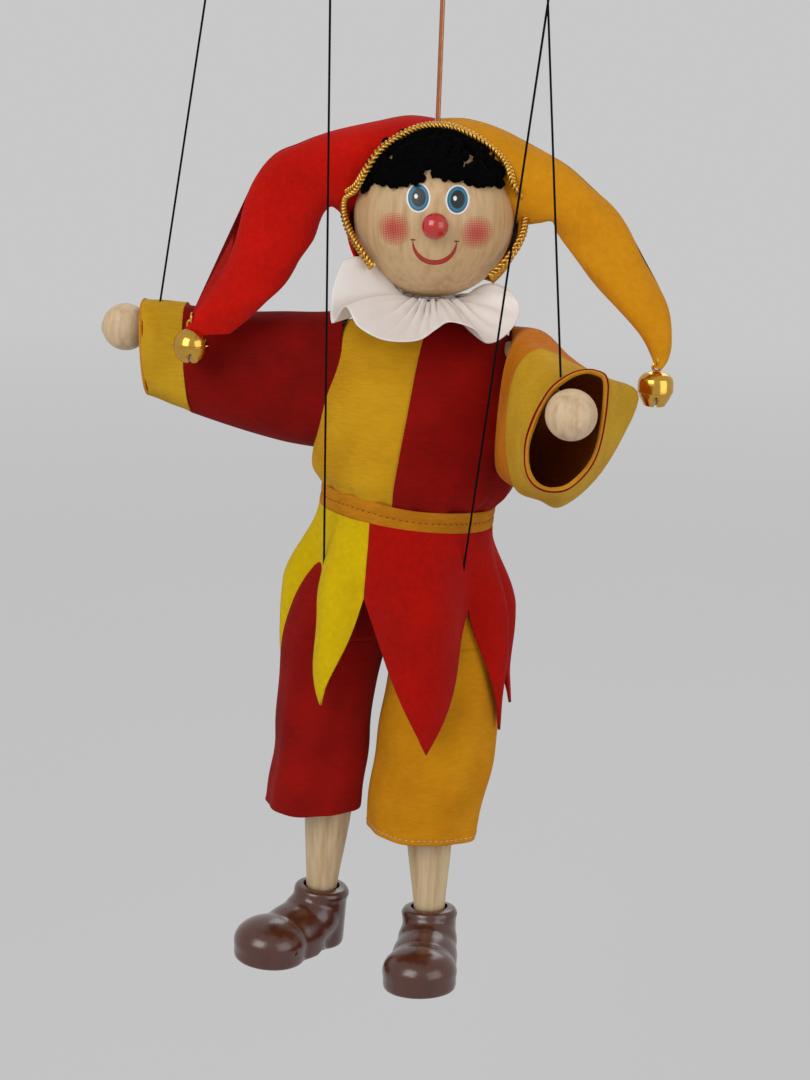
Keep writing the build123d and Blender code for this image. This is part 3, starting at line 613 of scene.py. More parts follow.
def hoodHalf(name, sign, finish):
    # u runs from the crown seam round the side, v from the front edge to the back seam
    def shape(u, v):
        r = hood["r"]
        lowest = -hood["hem"] / r
        frontTurn = math.asin(-hood["front"] / r)
        # elevation of the slice from the side plane to the back pole
        back = -frontTurn + v * (math.pi / 2 + frontTurn)
        swing = u * (math.pi / 2 + math.asin(min(lowest / max(math.cos(back), lowest), 1)))
        ring = r * math.cos(back)
        y = r * math.sin(back)
        x = ring * math.sin(swing)
        z = ring * math.cos(swing)
        puff = 0.5 * math.sin(5 * swing + 2) * math.sin(math.pi * v)
        flare = max(0, 1 - v * 5) * 1.2 * max(0, -z / r + 0.1) * 2
        return fromHead(sign * x * (1 + (puff + flare) / r), y * (1 + puff / r), z * (1 + puff / r))

    piece = clothGrid(name, 44, 32, shape, closed=False, wall=hood["wall"], flip=sign < 0)
    finish.paint(piece)
    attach(piece, "head")
    return piece


hoodHalf("hatYellowHalf", 1, hatYellow)
hatRightHalf = hoodHalf("hatRedHalf", -1, hatRed)
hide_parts("hat")

# each horn station: outer and inner point as (x, z), then y and half thickness, in mm from the head centre
horns = {
    "right": [
        ((-1, 35.5), (-2, 8), 9, 16.5), ((-11, 36.0), (-12, 6), 9, 17), ((-24, 33.6), (-24, 2), 7, 15.5),
        ((-38, 29.6), (-33, -1), 4, 13),
        ((-50, 25.2), (-38.6, 2.0), 1, 11), ((-60.5, 20.6), (-42.4, -3.6), -1, 10.2),
        ((-68.0, 8.0), (-44.8, -10.0), -4, 9.4),
        ((-72.6, -6.5), (-47.6, -15.5), -6, 8.8), ((-77.6, -21.7), (-51.6, -21.6), -9, 8),
        ((-82.2, -31.0), (-56.0, -28.0), -11, 6.8),
        ((-87.2, -37.5), (-61.0, -33.2), -12.5, 5), ((-90.6, -43.2), (-67.5, -39.4), -13.5, 3.2),
        ((-89.5, -46.2), (-74.0, -45.0), -14, 1.6),
    ],
    "left": [
        ((1, 35.5), (2, 8), 9, 16.5), ((11.3, 35.6), (12, 6), 8, 17), ((24.5, 32.6), (24, 1), 5, 15),
        ((36.5, 26.6), (32, -2), 1, 12.5),
        ((47.5, 21.0), (38.4, -0.8), -3, 10.8), ((56.8, 14.6), (43.2, 0.2), -6, 10),
        ((64.4, 7.6), (46.2, -3.8), -9, 9.4),
        ((71.2, -0.8), (50.2, -9.4), -12, 9), ((77.4, -10.4), (54.6, -15.4), -15, 8.6),
        ((83.8, -21.8), (61.0, -21.8), -19, 8),
        ((87.4, -30.4), (68.8, -29.6), -22, 7), ((88.8, -39.8), (77.2, -38.8), -25, 5),
        ((87.6, -46.4), (81.4, -45.6), -27, 2.8),
        ((85.6, -49.8), (82.6, -49.6), -28, 1.4),
    ],
}


def horn(side, finish):
    rings = []
    for outer, inner, y, half in horns[side]:
        top, low = fromHead(outer[0], y, outer[1]), fromHead(inner[0], y, inner[1])
        rings.append(oval((top + low) / 2, (top - low) / 2, vec(0, half, 0), bulge=0.9))
    count = len(rings)

    def shape(u, v):
        point = skinPoint(rings, u, v)
        centre = catmull([sum(ring, Vector()) / len(ring) for ring in rings], v)
        swirl = math.sin(9 * v * math.pi + 4 * math.sin(2 * math.pi * u)) * 0.35
        crease = swirl + math.sin(23 * v + 9 * u) * 0.2
        fade = math.sin(math.pi * min(1, v * 1.02))
        return point + (point - centre).normalized() * crease * mm * fade * 1.2

    piece = clothGrid("horn" + side.title(), 48, count * 8, shape, wall=0)
    pick(piece)  # closed ends
    bpy.ops.object.mode_set(mode="EDIT")
    bpy.ops.mesh.select_all(action="SELECT")
    bpy.ops.mesh.region_to_loop()
    bpy.ops.mesh.edge_face_add()
    bpy.ops.object.mode_set(mode="OBJECT")
    mend(piece)
    smooth(piece)
    finish.paint(piece)
    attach(piece, "head")
    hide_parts("horn_" + side)


horn("right", hatRed)
horn("left", hatYellow)

# gold braid along the hood's front edge: three strands plaited
braidPath = [(-22.0, -18.5, -17.5), (-26.6, -16.5, -11.5), (-30.4, -11.5, -6.5), (-33.2, -7.0, 0.0),
             (-33.0, -7.0, 6.5), (-29.0, -13.0, 10.5),
             (-25.6, -15.5, 16.6), (-20.4, -12.0, 24.2), (-14.0, -9.0, 29.0), (-7.0, -6.5, 32.4),
             (0, -6.0, 33.6), (7.0, -6.0, 32.6),
             (14.5, -7.0, 29.6), (21.5, -8.0, 25.2), (26.0, -10.5, 20.0), (28.4, -13.0, 13.6),
             (32.6, -7.5, 7.4), (33.6, -6.5, 1.0),
             (32.4, -9.0, -5.8), (27.6, -15.0, -13.2), (21.4, -18.0, -19.6)]
braid = {"width": 1.5, "depth": 0.75, "turns": 34, "strand": 0.62, "samples": 420}


def plait(path, name):
    spine = [fromHead(*point) for point in path]
    strands = []
    for k in range(3):
        points = []
        for i in range(braid["samples"] + 1):
            t = i / braid["samples"]
            here = catmull(spine, t)
            ahead = (catmull(spine, min(1, t + 0.004)) - catmull(spine, max(0, t - 0.004))).normalized()
            outward = (here - headCentre).normalized()
            across = ahead.cross(outward).normalized()
            phase = 2 * math.pi * (braid["turns"] * t + k / 3)
            points.append(here + across * math.sin(phase) * braid["width"] * mm
                          + outward * (0.3 + math.sin(2 * phase)) * braid["depth"] * mm)
        strands.append(tube(name + str(k), points, braid["strand"] * mm, sidesAround=1))
    return join(strands, name)


hatBraid = plait(braidPath, "hatBraid")
goldYarn.paint(hatBraid)
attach(hatBraid, "head")
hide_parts("hat_braid")

# black plush fringe: soft tufts melted into one pile
fringe = {
    "tufts": 430,
    "size": (1.1, 2.0),
    "half": 26.5,
    "rise": (9, 32),
    "brow": 32.6,  # radius of the hat's edge that the tufts stay within
    "skin": 31.9,
    "shallow": 6,
    "lowest": [(-26, 9), (-23, 13), (-13, 12.4), (-5, 14.6), (2, 16.0), (9, 14.8), (16, 13.4),
               (22, 13.8), (27, 10)],
}


def fringeEdge(x):
    line = fringe["lowest"]
    for (xa, za), (xb, zb) in zip(line, line[1:]):
        if x <= xb:
            return za + (zb - za) * max(0, (x - xa)) / (xb - xa)
    return line[-1][1]


def hairPile():
    deselect()
    bpy.ops.mesh.primitive_ico_sphere_add(subdivisions=2, radius=mm)
    tuft = settle(named("tuft"))
    moves = []
    while len(moves) < fringe["tufts"]:
        x, z = random.uniform(-fringe["half"], fringe["half"]), random.uniform(*fringe["rise"])
        size = random.uniform(*fringe["size"])
        if z < fringeEdge(x) + size * 0.6 or x * x + z * z > fringe["brow"] ** 2:
            continue
        inward = math.sqrt(max(fringe["skin"] ** 2 - x * x - z * z, fringe["shallow"] ** 2))
        deep = -inward - random.uniform(-0.3, 1.6)
        if deep > -4:
            continue
        stretch = Matrix.Diagonal((size, size * 0.8, size * random.uniform(1.0, 1.5), 1))
        place = Matrix.Translation(fromHead(x, deep + 1.0, z))
        moves.append(place @ Matrix.Rotation(random.uniform(-0.6, 0.6), 4, "Y") @ stretch)
    pile = spread(tuft, moves, "hairFringe")
    modify(pile, "REMESH", mode="VOXEL", voxel_size=0.45 * mm)
    clouds = bpy.data.textures.new("curls", "CLOUDS")
    clouds.noise_scale = 0.9 * mm
    modify(pile, "DISPLACE", texture=clouds, strength=1.1 * mm, mid_level=0.45, texture_coords="LOCAL")
    return smooth(pile)


hair = hairPile()
plush.paint(hair)
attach(hair, "head")
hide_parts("hair")
print("head done")

# ---- bells

bellShape = {
    "right": [(-6.3, 2.2), (-6.0, 3.6), (-4.4, 5.4), (-2.2, 6.35), (-0.35, 6.6), (-0.2, 6.9), (0.35, 6.9),
              (0.5, 6.6), (2.4, 6.3), (4.6, 4.9), (6.0, 2.8), (6.5, 1.0)],
    "left": [(-6.4, 3.4), (-6.2, 3.9), (-3.2, 5.6), (-1.4, 6.3), (-1.2, 6.6), (2.4, 6.6), (3.9, 6.1),
             (5.2, 4.9), (6.0, 3.2), (6.4, 1.0)],
}
loopRing = {"r": 1.5, "wire": 0.5}
slot = {"width": 1.1, "endR": 1.15, "depth": 4.4, "length": 7.5}  # in mm
for side in sides:
    low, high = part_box("bell_" + side)
    middle = (low + high) / 2
    centre = Vector((middle.x, middle.y, low.z + 6.6 * mm))
    shell = lathe("jingle" + side.title(), bellShape[side], centre, Vector((0, 0, 1)),
                  steps=16 if side == "left" else 32, angle=24)
    # the slot with its round ends
    deselect()
    bpy.ops.mesh.primitive_cube_add(size=1, location=centre - vec(0, 3.2, 5.0),
                                    scale=vec(slot["width"], slot["length"], slot["depth"]))
    cutter = settle(named("slot"))
    holes = []
    for y in (-6.2, 0.4):
        deselect()
        bpy.ops.mesh.primitive_cylinder_add(vertices=16, radius=slot["endR"] * mm, depth=6 * mm,
                                            location=centre + vec(0, y, -3.4 if y < -1 else -5),
                                            rotation=(math.pi / 2 if y < -1 else 0, 0, 0))
        holes.append(settle(named("slotEnd")))
    modify(shell, "BOOLEAN", operation="DIFFERENCE", object=cutter, solver="EXACT")
    for hole in holes:
        modify(shell, "BOOLEAN", operation="DIFFERENCE", object=hole, solver="EXACT")
    for extra in (cutter, *holes):
        bpy.data.objects.remove(extra)
    deselect()
    bpy.ops.mesh.primitive_torus_add(major_radius=loopRing["r"] * mm, minor_radius=loopRing["wire"] * mm,
                                     major_segments=24, minor_segments=10,
                                     location=(middle.x, middle.y,
                                               high.z - (loopRing["r"] + loopRing["wire"]) * mm),
                                               rotation=(math.pi / 2, 0, 0))
    ring = smooth(settle(named("bellRing" + side.title())))
    piece = join([shell, ring], "bell" + side.title())
    smooth(piece, 28)
    brass.paint(piece)
    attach(piece, "bell_" + side)
    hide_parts("bell_" + side)
print("bells done")

# ---- hands and shins in turned wood

for side in sides:
    low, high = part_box("hand_" + side)
    centre = (low + high) / 2
    dowelLow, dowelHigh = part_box("arm_eye_" + side)
    axis = (centre - (dowelLow + dowelHigh) / 2).normalized()
    hand = ball("hand" + side.title(), centre, 9 * mm, 48, 32)
    plug = lathe("plug", [(8.2, 2.25), (8.85, 2.25), (9.05, 2.0), (9.05, 1.1), (8.8, 0.9)], centre, axis,
                 24, 40)
    piece = join([hand, plug], "hand" + side.title())
    smooth(piece, 50)
    paleWood.paint(piece)
    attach(piece, "arm_" + side)
    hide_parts("hand_" + side)

legs = {
    "right": {"knee": (-30.473, 0, -313.907), "ankle": (-34.26, 0, -383.8)},
    "left": {"knee": (6.347, -5.752, -316.841), "ankle": (8.90, -11.85, -386.5)},
}
shinProfile = [(4.0, 8.0), (9.0, 8.9), (20, 9.6), (33, 9.7), (45, 8.9), (56, 7.7), (64, 6.7), (69, 6.3),
               (73.6, 6.25)]
for side in sides:
    knee, ankle = vec(*legs[side]["knee"]), vec(*legs[side]["ankle"])
    shank = lathe("shin" + side.title(), shinProfile, knee, (ankle - knee).normalized(), 40)
    modify(shank, "SUBSURF", levels=1, render_levels=1)
    smooth(shank, 40)
    turnedWood.paint(shank)
    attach(shank, "shin_" + side)
    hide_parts("shin_" + side)
print("limbs done")

# ---- shoes: carved heel, vamp and round toe cap melted into one block

shoe = {"height": 25, "heel": 10.6, "toe": 14.5, "reach": 27, "turn": {"right": -41.0, "left": -8.0}}


def shoePart(kind, name, place, scale, turn=(0, 0, 0)):
    deselect()
    if kind == "ball":
        bpy.ops.mesh.primitive_uv_sphere_add(segments=48, ring_count=32, radius=mm, location=vec(*place),
                                             scale=scale, rotation=turn)
    else:
        bpy.ops.mesh.primitive_cylinder_add(vertices=64, radius=mm, depth=mm, location=vec(*place),
                                            scale=scale, rotation=turn)
        bpy.ops.object.transform_apply(location=False, rotation=False, scale=True)
        modify(bpy.context.object, "BEVEL", width=1.2 * mm, segments=3)
    return settle(named(name))


def carvedShoe(side):
    h, toe, heel, reach = shoe["height"], shoe["toe"], shoe["heel"], shoe["reach"]
    parts = [
        shoePart("drum", "heelBlock", (0, 0, -h + 12.2), (heel, heel, 24.2)),
        shoePart("ball", "toeCap", (0, -reach, -h + 7.2), (toe, toe * 1.02, 9.6)),
        shoePart("drum", "toeRand", (0, -reach, -h + 3.2), (toe - 0.3, toe - 0.3, 6.4)),
        shoePart("ball", "vamp", (0, -14.0, -h + 7.6), (toe - 1.6, 19.0, 11.0), (math.radians(14), 0, 0)),
        shoePart("ball", "instep", (0, -5.0, -h + 12.0), (heel + 1.2, 12.5, 10.6),
                 (math.radians(24), 0, 0)),
        shoePart("ball", "flare", (0, 0.4, -h + 21.6), (heel + 0.7, heel + 0.7, 3.6)),
        shoePart("drum", "sole", (0, -15.0, -h + 3.4), (toe - 1.8, 16, 6.0)),
    ]
    block = join(parts, "shoe" + side.title())
    modify(block, "REMESH", mode="VOXEL", voxel_size=0.62 * mm)
    modify(block, "SMOOTH", factor=0.5, iterations=24)
    for name, place, radius, depth, turn in (
        ("heelNotch", (0, -heel + 1.6, -h - 1.0), 3.6, 40, (0, math.pi / 2, 0)),
        ("collar", (0, 0, 0.6), 7.3, 9.0, (0, 0, 0)),
    ):
        deselect()
        bpy.ops.mesh.primitive_cylinder_add(vertices=48, radius=radius * mm, depth=depth * mm,
                                            location=vec(*place), rotation=turn)
        cutter = settle(named(name))
        modify(block, "BOOLEAN", operation="DIFFERENCE", object=cutter, solver="EXACT")
        bpy.data.objects.remove(cutter)
    deselect()
    bpy.ops.mesh.primitive_torus_add(major_radius=(toe + 0.4) * mm, minor_radius=0.55 * mm,
                                     major_segments=64, minor_segments=8,
                                     location=vec(0, -reach + 2.8, -h + 10.5),
                                     rotation=(math.radians(52), 0, 0))
    crease = settle(named("crease"))
    modify(block, "BOOLEAN", operation="DIFFERENCE", object=crease, solver="EXACT")
    bpy.data.objects.remove(crease)
    knee, ankle = vec(*legs[side]["knee"]), vec(*legs[side]["ankle"])
    up = (knee - ankle).normalized()
    turn = math.radians(shoe["turn"][side])
    sideways = Vector((up.z, 0, -up.x)).normalized()
    forward = up.cross(sideways)
    across = sideways * math.cos(turn) + forward * math.sin(turn)
    back = up.cross(across)
    block.data.transform(Matrix.Translation(ankle) @ Matrix((across, back, up)).transposed().to_4x4())
    smooth(block, 38)
    shoeWood.paint(block)
    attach(block, "shin_" + side)
    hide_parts("shoe_" + side)


for side in sides:
    carvedShoe(side)
print("shoes done")

# ---- shirt in two halves on the torso

shirt = {
    "stations": [(-75.6, 31.4, 27.9), (-70, 31.6, 28.0), (-66.0, 34.6, 29.6), (-61, 38.4, 31.0),
                 (-52, 39.4, 30.6), (-40, 39.2, 29.0),
                 (-28, 38.6, 26.6), (-17, 37.2, 23.6), (-9, 34.6, 20.8), (-3, 29.0, 17.6),
                 (1.2, 20.0, 13.8), (2.0, 12.0, 9.0)],
    "wall": 0.7,
    "seam": 4.0,
}


def shirtHalf(name, sign, finish, node):
    stations = [Vector(station) for station in shirt["stations"]]

    def shape(u, v):
        height, wide, deep = catmull(stations, v)
        # the front seam wanders over to the puppet's right towards the waist, as the cloth was cut
        front = -math.pi / 2 - math.radians(shirt["seam"] + 8 * (1 - v))
        back = math.pi / 2
        turn = front + u * (back - front) if sign > 0 else front - u * (2 * math.pi - (back - front))
        c, s = math.cos(turn), math.sin(turn)
        gather = math.exp(-((height + 66) / 7) ** 2)
        pleat = gather * (math.sin(15 * turn + 1) * 0.55 + math.sin(31 * turn) * 0.2)
        hang = math.exp(-((height + 38) / 22) ** 2)
        drape = 0.8 * math.sin(3 * turn + height * 0.09) * hang + 0.35 * math.sin(7 * turn - height * 0.16)
        lift = (pleat + drape * (0 if abs(height + 76) < 6 else 1)) * (1 if height < -2 else 0.3)
        return onTorso(c * (wide + lift), s * (deep + lift), height)

    piece = clothGrid(name, 88, 72, shape, closed=False, wall=shirt["wall"], flip=sign < 0)
    finish.paint(piece)
    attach(piece, "root")
    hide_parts(node)
    return piece


shirtHalf("shirtRedHalf", 1, shirtRed, "shirt_left")
shirtHalf("shirtYellowHalf", -1, shirtYellow, "shirt_right")

# ---- belt: folded bias tape with a stitch line round its middle

belt = {"wide": 33.0, "deep": 29.4, "top": -67.6, "height": 8.6, "wall": 0.9}


def beltPoint(turn, height, out=0.0):
    c, s = math.cos(turn), math.sin(turn)
    sway = 0.5 * math.sin(2 * turn + 0.6) + 0.25 * math.sin(5 * turn)
    return onTorso(c * (belt["wide"] + out), s * (belt["deep"] + out), height + sway)


def beltShape(u, v):
    bulge = 0.3 * abs(math.sin(2 * math.pi * v)) ** 0.7 - 0.2 * math.exp(-((v - 0.5) / 0.05) ** 2)
    return beltPoint(2 * math.pi * u, belt["top"] - belt["height"] * (1 - v), bulge + 0.4)


beltPiece = clothGrid("waistBelt", 160, 14, beltShape, wall=belt["wall"])
beltTape.paint(beltPiece)
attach(beltPiece, "root")
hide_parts("belt")


def stitchRow(name, spots, finish, length=1.3, thick=0.42):
    deselect()
    bpy.ops.mesh.primitive_ico_sphere_add(subdivisions=1, radius=mm,
                                          scale=(length / 2, thick / 2, thick / 2))
    stitch = settle(named("stitch"))
    moves = []
    for place, heading in spots:
        moves.append(Matrix.Translation(place) @ heading.to_track_quat("X", "Z").to_matrix().to_4x4())
    row = spread(stitch, moves, name)
    smooth(row)
    finish.paint(row)
    return row


count = 84
spots = []
for i in range(count):
    turn = 2 * math.pi * i / count
    here, there = (beltPoint(turn + d, belt["top"] - belt["height"] * 0.5, 0.32) for d in (-0.02, 0.02))
    spots.append(((here + there) / 2, there - here))
beltStitches = stitchRow("beltStitches", spots, darkStitch)
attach(beltStitches, "root")

# ---- pointed skirt in felt: tips and notches by their turn round the waist, with the length at each

skirt = {"wide": 33.6, "deep": 30.0, "top": -75.6, "wall": 1.1, "centre": 0.0}
skirtHems = {
    "left": [(246, 30), (284, 84.5, 13), (318, 31, 0.5), (338, 79, 10), (358, 33, 3), (378, 76, 13),
             (400, 32, 4), (422, 78, 13), (442, 31)],
    "right": [(246, 30), (229, 73.5, 12), (203, 31, 1.5), (180, 69, 13.5), (161, 32, 4), (144, 74, 14),
              (124, 32, 4), (104, 76, 13), (82, 31)],
}


def skirtHalf(side, finish):
    hems = [(h[0], h[1], h[2] if len(h) > 2 else 3.0) for h in skirtHems[side]]
    spans = len(hems) - 1

    def shape(u, v):
        place = min(u * spans, spans - 1e-9)
        i = int(place)
        f = place - i
        (ta, la, fa), (tb, lb, fb) = hems[i], hems[i + 1]
        turn = math.radians(ta + (tb - ta) * f)
        length = la + (lb - la) * f
        wave = (1 - math.cos(math.pi * f)) / 2
        flare = fa + (fb - fa) * wave
        drop = 1.5 + (length - 1.5) * (1 - v)
        ease = min(1, drop / 36)
        out = flare * ease * ease * (3 - 2 * ease)
        out += 0.9 * math.sin(drop * 0.11 + i) * min(1, max(0, drop - 30) / 20)
        edge = onTorso(math.cos(turn) * (skirt["wide"] + out), math.sin(turn) * (skirt["deep"] + out),
                       skirt["top"])
        return edge - vec(0, 0, drop - 1.5)  # the felt hangs straight down though the body leans

    piece = clothGrid("skirt" + side.title(), spans * 12, 42, shape, closed=False, wall=skirt["wall"],
                      flip=side == "right")
    finish.paint(piece)
    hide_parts("peplum_" + side)
    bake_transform(piece)


skirtHalf("left", feltRed)
skirtHalf("right", feltYellow)
print("shirt, belt and skirt done")

# ---- shorts: each leg in an upper and a lower piece that meet at mid thigh
# stations from the waist down: centre x, y, z from the head centre, half width, half depth

shorts = {
    "right": [(-14, 0, -113, 15, 19.5), (-19, 0, -126, 18, 20.5), (-26, -1, -142, 20, 20.5),
              (-31, -1, -160, 20.4, 20.5), (-34, -1, -178, 18.9, 19.4),
              (-35.2, -1, -196, 18.3, 18.9), (-36.4, -1, -212, 18.2, 18.6), (-37.8, -1, -226, 18.3, 18.4),
              (-38.4, -1, -232, 18.3, 18.4)],
    "left": [(4, 0, -115, 15, 18.5), (7, 0, -128, 17, 18.5), (9.6, -0.5, -144, 18.5, 18.5),
             (11.0, -2.5, -162, 20, 19), (11.0, -4.5, -180, 21.8, 19.8),
             (9.8, -6.5, -198, 22.6, 20), (7.6, -8, -214, 22.4, 19.6), (5.4, -9, -230, 21.6, 19),
             (4.6, -9.5, -239, 21.2, 18.6)],
}


def shortsPoint(side, u, v):
    rings = [oval(fromHead(x, y, z), vec(wide, 0, -wide * 0.04 * sides[side]), vec(0, deep, 0)) for x, y, z,
             wide, deep in shorts[side]]
    point = skinPoint(rings, u, v)
    centre = catmull([sum(ring, Vector()) / len(ring) for ring in rings], v)
    turn = 2 * math.pi * u
    fold = math.sin(4 * turn + 3 * v * sides[side]) * 0.8 * v + math.sin(9 * turn + 6 * v) * 0.3
    crumple = math.sin(26 * v + 2 * math.sin(turn + 1)) * 0.45 * math.exp(-((v - 0.68) / 0.2) ** 2)
    return point + (point - centre).normalized() * (fold + crumple) * mm


def shortsLeg(side, finish):
    ringAt = {}

    def shape(u, v):
        key = (round(u, 5), round(v, 5))
        if key not in ringAt:
            ringAt[key] = shortsPoint(side, u, v)
        return ringAt[key]

    whole = clothGrid("shortsWhole", 72, 60, shape, wall=0)
    pieces = []
    for label, keepLow in (("Upper", False), ("Lower", True)):
        part = copyOf(whole, Matrix())
        part.name = "shorts" + side.title() + label
        cut = fromHead(*shorts[side][3][:3])
        pick(part)
        bpy.ops.object.mode_set(mode="EDIT")
        bpy.ops.mesh.select_all(action="SELECT")
        bpy.ops.mesh.bisect(plane_co=cut, plane_no=(0, 0, 1), clear_inner=not keepLow, clear_outer=keepLow)
        bpy.ops.object.mode_set(mode="OBJECT")
        modify(part, "SOLIDIFY", thickness=0.7 * mm, offset=-1)
        smooth(part)
        finish.paint(part)
        pieces.append(part)
    bpy.data.objects.remove(whole)
    upper, lower = pieces
    spots = []
    for i in range(58):
        pair = []
        for d in (-0.004, 0.004):
            u = i / 58 + d
            point = shortsPoint(side, u % 1, 0.962)
            inner = fromHead(*shorts[side][-1][:3])
            inner.z = point.z
            pair.append(point + (point - inner).normalized() * 0.12 * mm)
        spots.append(((pair[0] + pair[1]) / 2, pair[1] - pair[0]))
    hem = stitchRow("hemStitches" + side.title(), spots, stitchThread, length=1.5, thick=0.4)
    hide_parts("shorts_" + side)
    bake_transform(upper)
    for part in (lower, hem):
        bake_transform(part)


shortsLeg("right", shortsRed)
shortsLeg("left", shortsOrange)
print("shorts done")

# ---- sleeves: rings of points down each arm, cuffs as a band of their own

arms = {
    "right": {"pivot": (-28.737, 0.244, -158.359), "hand": (-116.1, 12.06, -164.8)},
    "left": {"pivot": (29.171, -1.75, -164.242), "hand": (48.9, -87.3, -174.6)},
}


def armRing(side, along, above, below, half, count=12):
    pivot, hand = vec(*arms[side]["pivot"]), vec(*arms[side]["hand"])
    axis = (hand - pivot).normalized()
    sideways = axis.cross(Vector((0, 0, 1))).normalized()
    up = sideways.cross(axis).normalized()
    middle = pivot + axis * along * mm + up * (above - below) / 2 * mm
    return oval(middle, sideways * half * mm, up * (above + below) / 2 * mm, count, 0.85)


def pointRing(y, outline):  # a ring given by its own outline, each point (x, z) in mm from the head centre
    return [fromHead(x, y, z) for x, z in outline]


def between(first, second, share):
    return [a.lerp(b, share) for a, b in zip(first, second)]


# the raised arm's sleeve is cut square: two sharp corners stand out where the cuff is sewn on
shoulderRing = oval(fromHead(29, -2.5, -67), vec(0, 15, 0), vec(2, 0, 27), 12, 0.8)
bendRing = oval(fromHead(36, -15, -68), vec(10, 12, 0), vec(2, 0, 29), 12, 0.75)
cornerRing = pointRing(-42, [(75.8, -58.9), (64.0, -52.2), (53.0, -47.6), (45.0, -44.0), (38.5, -42.5),
                             (32.5, -48.5), (29.5, -61.0), (29.5, -78.0),
                             (33.6, -93.0), (42.4, -97.4), (50.8, -99.2), (64.3, -86.0)])
openingRing = pointRing(-80, [(60.8, -48.6), (57.0, -43.8), (50.0, -44.6), (43.2, -49.6), (39.4, -56.0),
                              (36.8, -62.4), (35.0, -69.8), (35.4, -78.2),
                              (38.4, -83.4), (44.2, -85.4), (51.2, -83.0), (58.6, -71.6)])
cuffCentre = fromHead(53, -42, -70)
cuffRoot = [cuffCentre + (p - cuffCentre) * 1.02 for p in cornerRing]
sleeveRings = {
    "right": [armRing("right", 3, 5, 47, 12.5), armRing("right", 12, 4.5, 48.5, 13),
              armRing("right", 24, 4.5, 46, 12.5), armRing("right", 38, 4.8, 42, 12),
              armRing("right", 52, 6.5, 37.5, 11.5), armRing("right", 64, 8.5, 33, 11)],
    "left": [shoulderRing, bendRing, between(bendRing, cornerRing, 0.6), cornerRing],
}
cuffRings = {
    "right": [armRing("right", 64, 8.9, 33.4, 11.4), armRing("right", 70, 9.6, 31, 11),
              armRing("right", 76, 10.2, 28.2, 10.6), armRing("right", 80.5, 10.6, 26.4, 10.3)],
    "left": [cuffRoot, between(cuffRoot, openingRing, 0.35), between(cuffRoot, openingRing, 0.7),
             openingRing],
}


def sleevePiece(name, rings, wrinkle, wall=0.7):
    centres = [sum(ring, Vector()) / len(ring) for ring in rings]

    def shape(u, v):
        point = skinPoint(rings, u, v)
        turn = 2 * math.pi * u
        fold = math.sin(5 * turn + 4 * v) * 0.5 + math.sin(2 * turn + 9 * v) * 0.6 * (1 - v)
        return point + (point - catmull(centres, v)).normalized() * fold * wrinkle * mm

    return clothGrid(name, 72, 36, shape, wall=wall)


# how far each trim stands out, in mm
trimOut = {"right": {"Edge": -0.3, "Lining": -0.6}, "left": {"Edge": 0.1, "Lining": 0.6}}
sleeveLooks = {"right": (sleeveRed, "sleeve_red", 1.0), "left": (sleeveOrange, "sleeve_orange", 0.6)}
for side in sides:
    look, slotName, wrinkle = sleeveLooks[side]
    sleeve = sleevePiece("sleeve" + side.title(), sleeveRings[side], wrinkle)
    look.paint(sleeve)
    cuff = sleevePiece("cuff" + side.title(), cuffRings[side], 0.3, 0.8)
    cuffYellow.paint(cuff)
    rim = cuffRings[side][-1]
    centre = sum(rim, Vector()) / len(rim)
    for label, back, thick, finish in (("Edge", 0.0, 0.55, rolledEdge), ("Lining", 1.0, 0.5, sleeveRed)):
        inner = cuffRings[side][-2]
        points = []
        for i in range(49):
            edge, before = catmull(rim, i / 48, True), catmull(inner, i / 48, True)
            place = edge + (before - edge).normalized() * back * mm
            points.append(place + (place - centre).normalized() * trimOut[side][label] * mm)
        trim = tube("cuff" + label + side.title(), points, thick * mm, sidesAround=2)
        finish.paint(trim)
        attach(trim, "arm_" + side)
    pivot, hand = vec(*arms[side]["pivot"]), vec(*arms[side]["hand"])
    axis = (hand - pivot).normalized()
    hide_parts("sleeve_" + side)
    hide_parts("cuff_" + side)
    pivot - axis * 0.002
    pivot + axis * 0.034
    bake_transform(sleeve)
    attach(cuff, "arm_" + side)
print("sleeves done")

# ---- ruff: a gathered satin ribbon standing round the neck
# the outer edge as it falls, and the gathered edge close to the neck, both as points from the head centre

ruff = {
    "outer": [(-33.5, -8, -22.0), (-33.0, -18, -16.0), (-36.4, -24, -27.0), (-36.0, -26, -38.0),
              (-31.0, -32, -31.0), (-26.4, -37, -37.0),
              (-18.6, -39, -41.0), (-10.8, -39, -42.0), (-3.4, -37, -41.2), (2.0, -34, -37.8),
              (6.6, -36, -34.6), (13.0, -38, -35.4),
              (17.0, -37, -37.6), (20.0, -33, -42.0), (25.0, -27, -42.0), (30.4, -20, -38.0),
              (33.2, -14, -31.4), (29.0, -10, -25.6),
              (30.0, -1, -34.0), (32.0, 8, -41.0), (27.0, 14, -33.0), (24.0, 21, -41.5), (15.0, 26, -33.0),
              (6.0, 31, -42.0),
              (-3.0, 29, -33.5), (-12.0, 29, -42.0), (-20.0, 24, -33.5), (-28.0, 19, -41.5),
              (-30.0, 9, -33.0), (-35.0, 1, -39.5)],
    "inner": 12.0,
    "neck": -29.6,
}


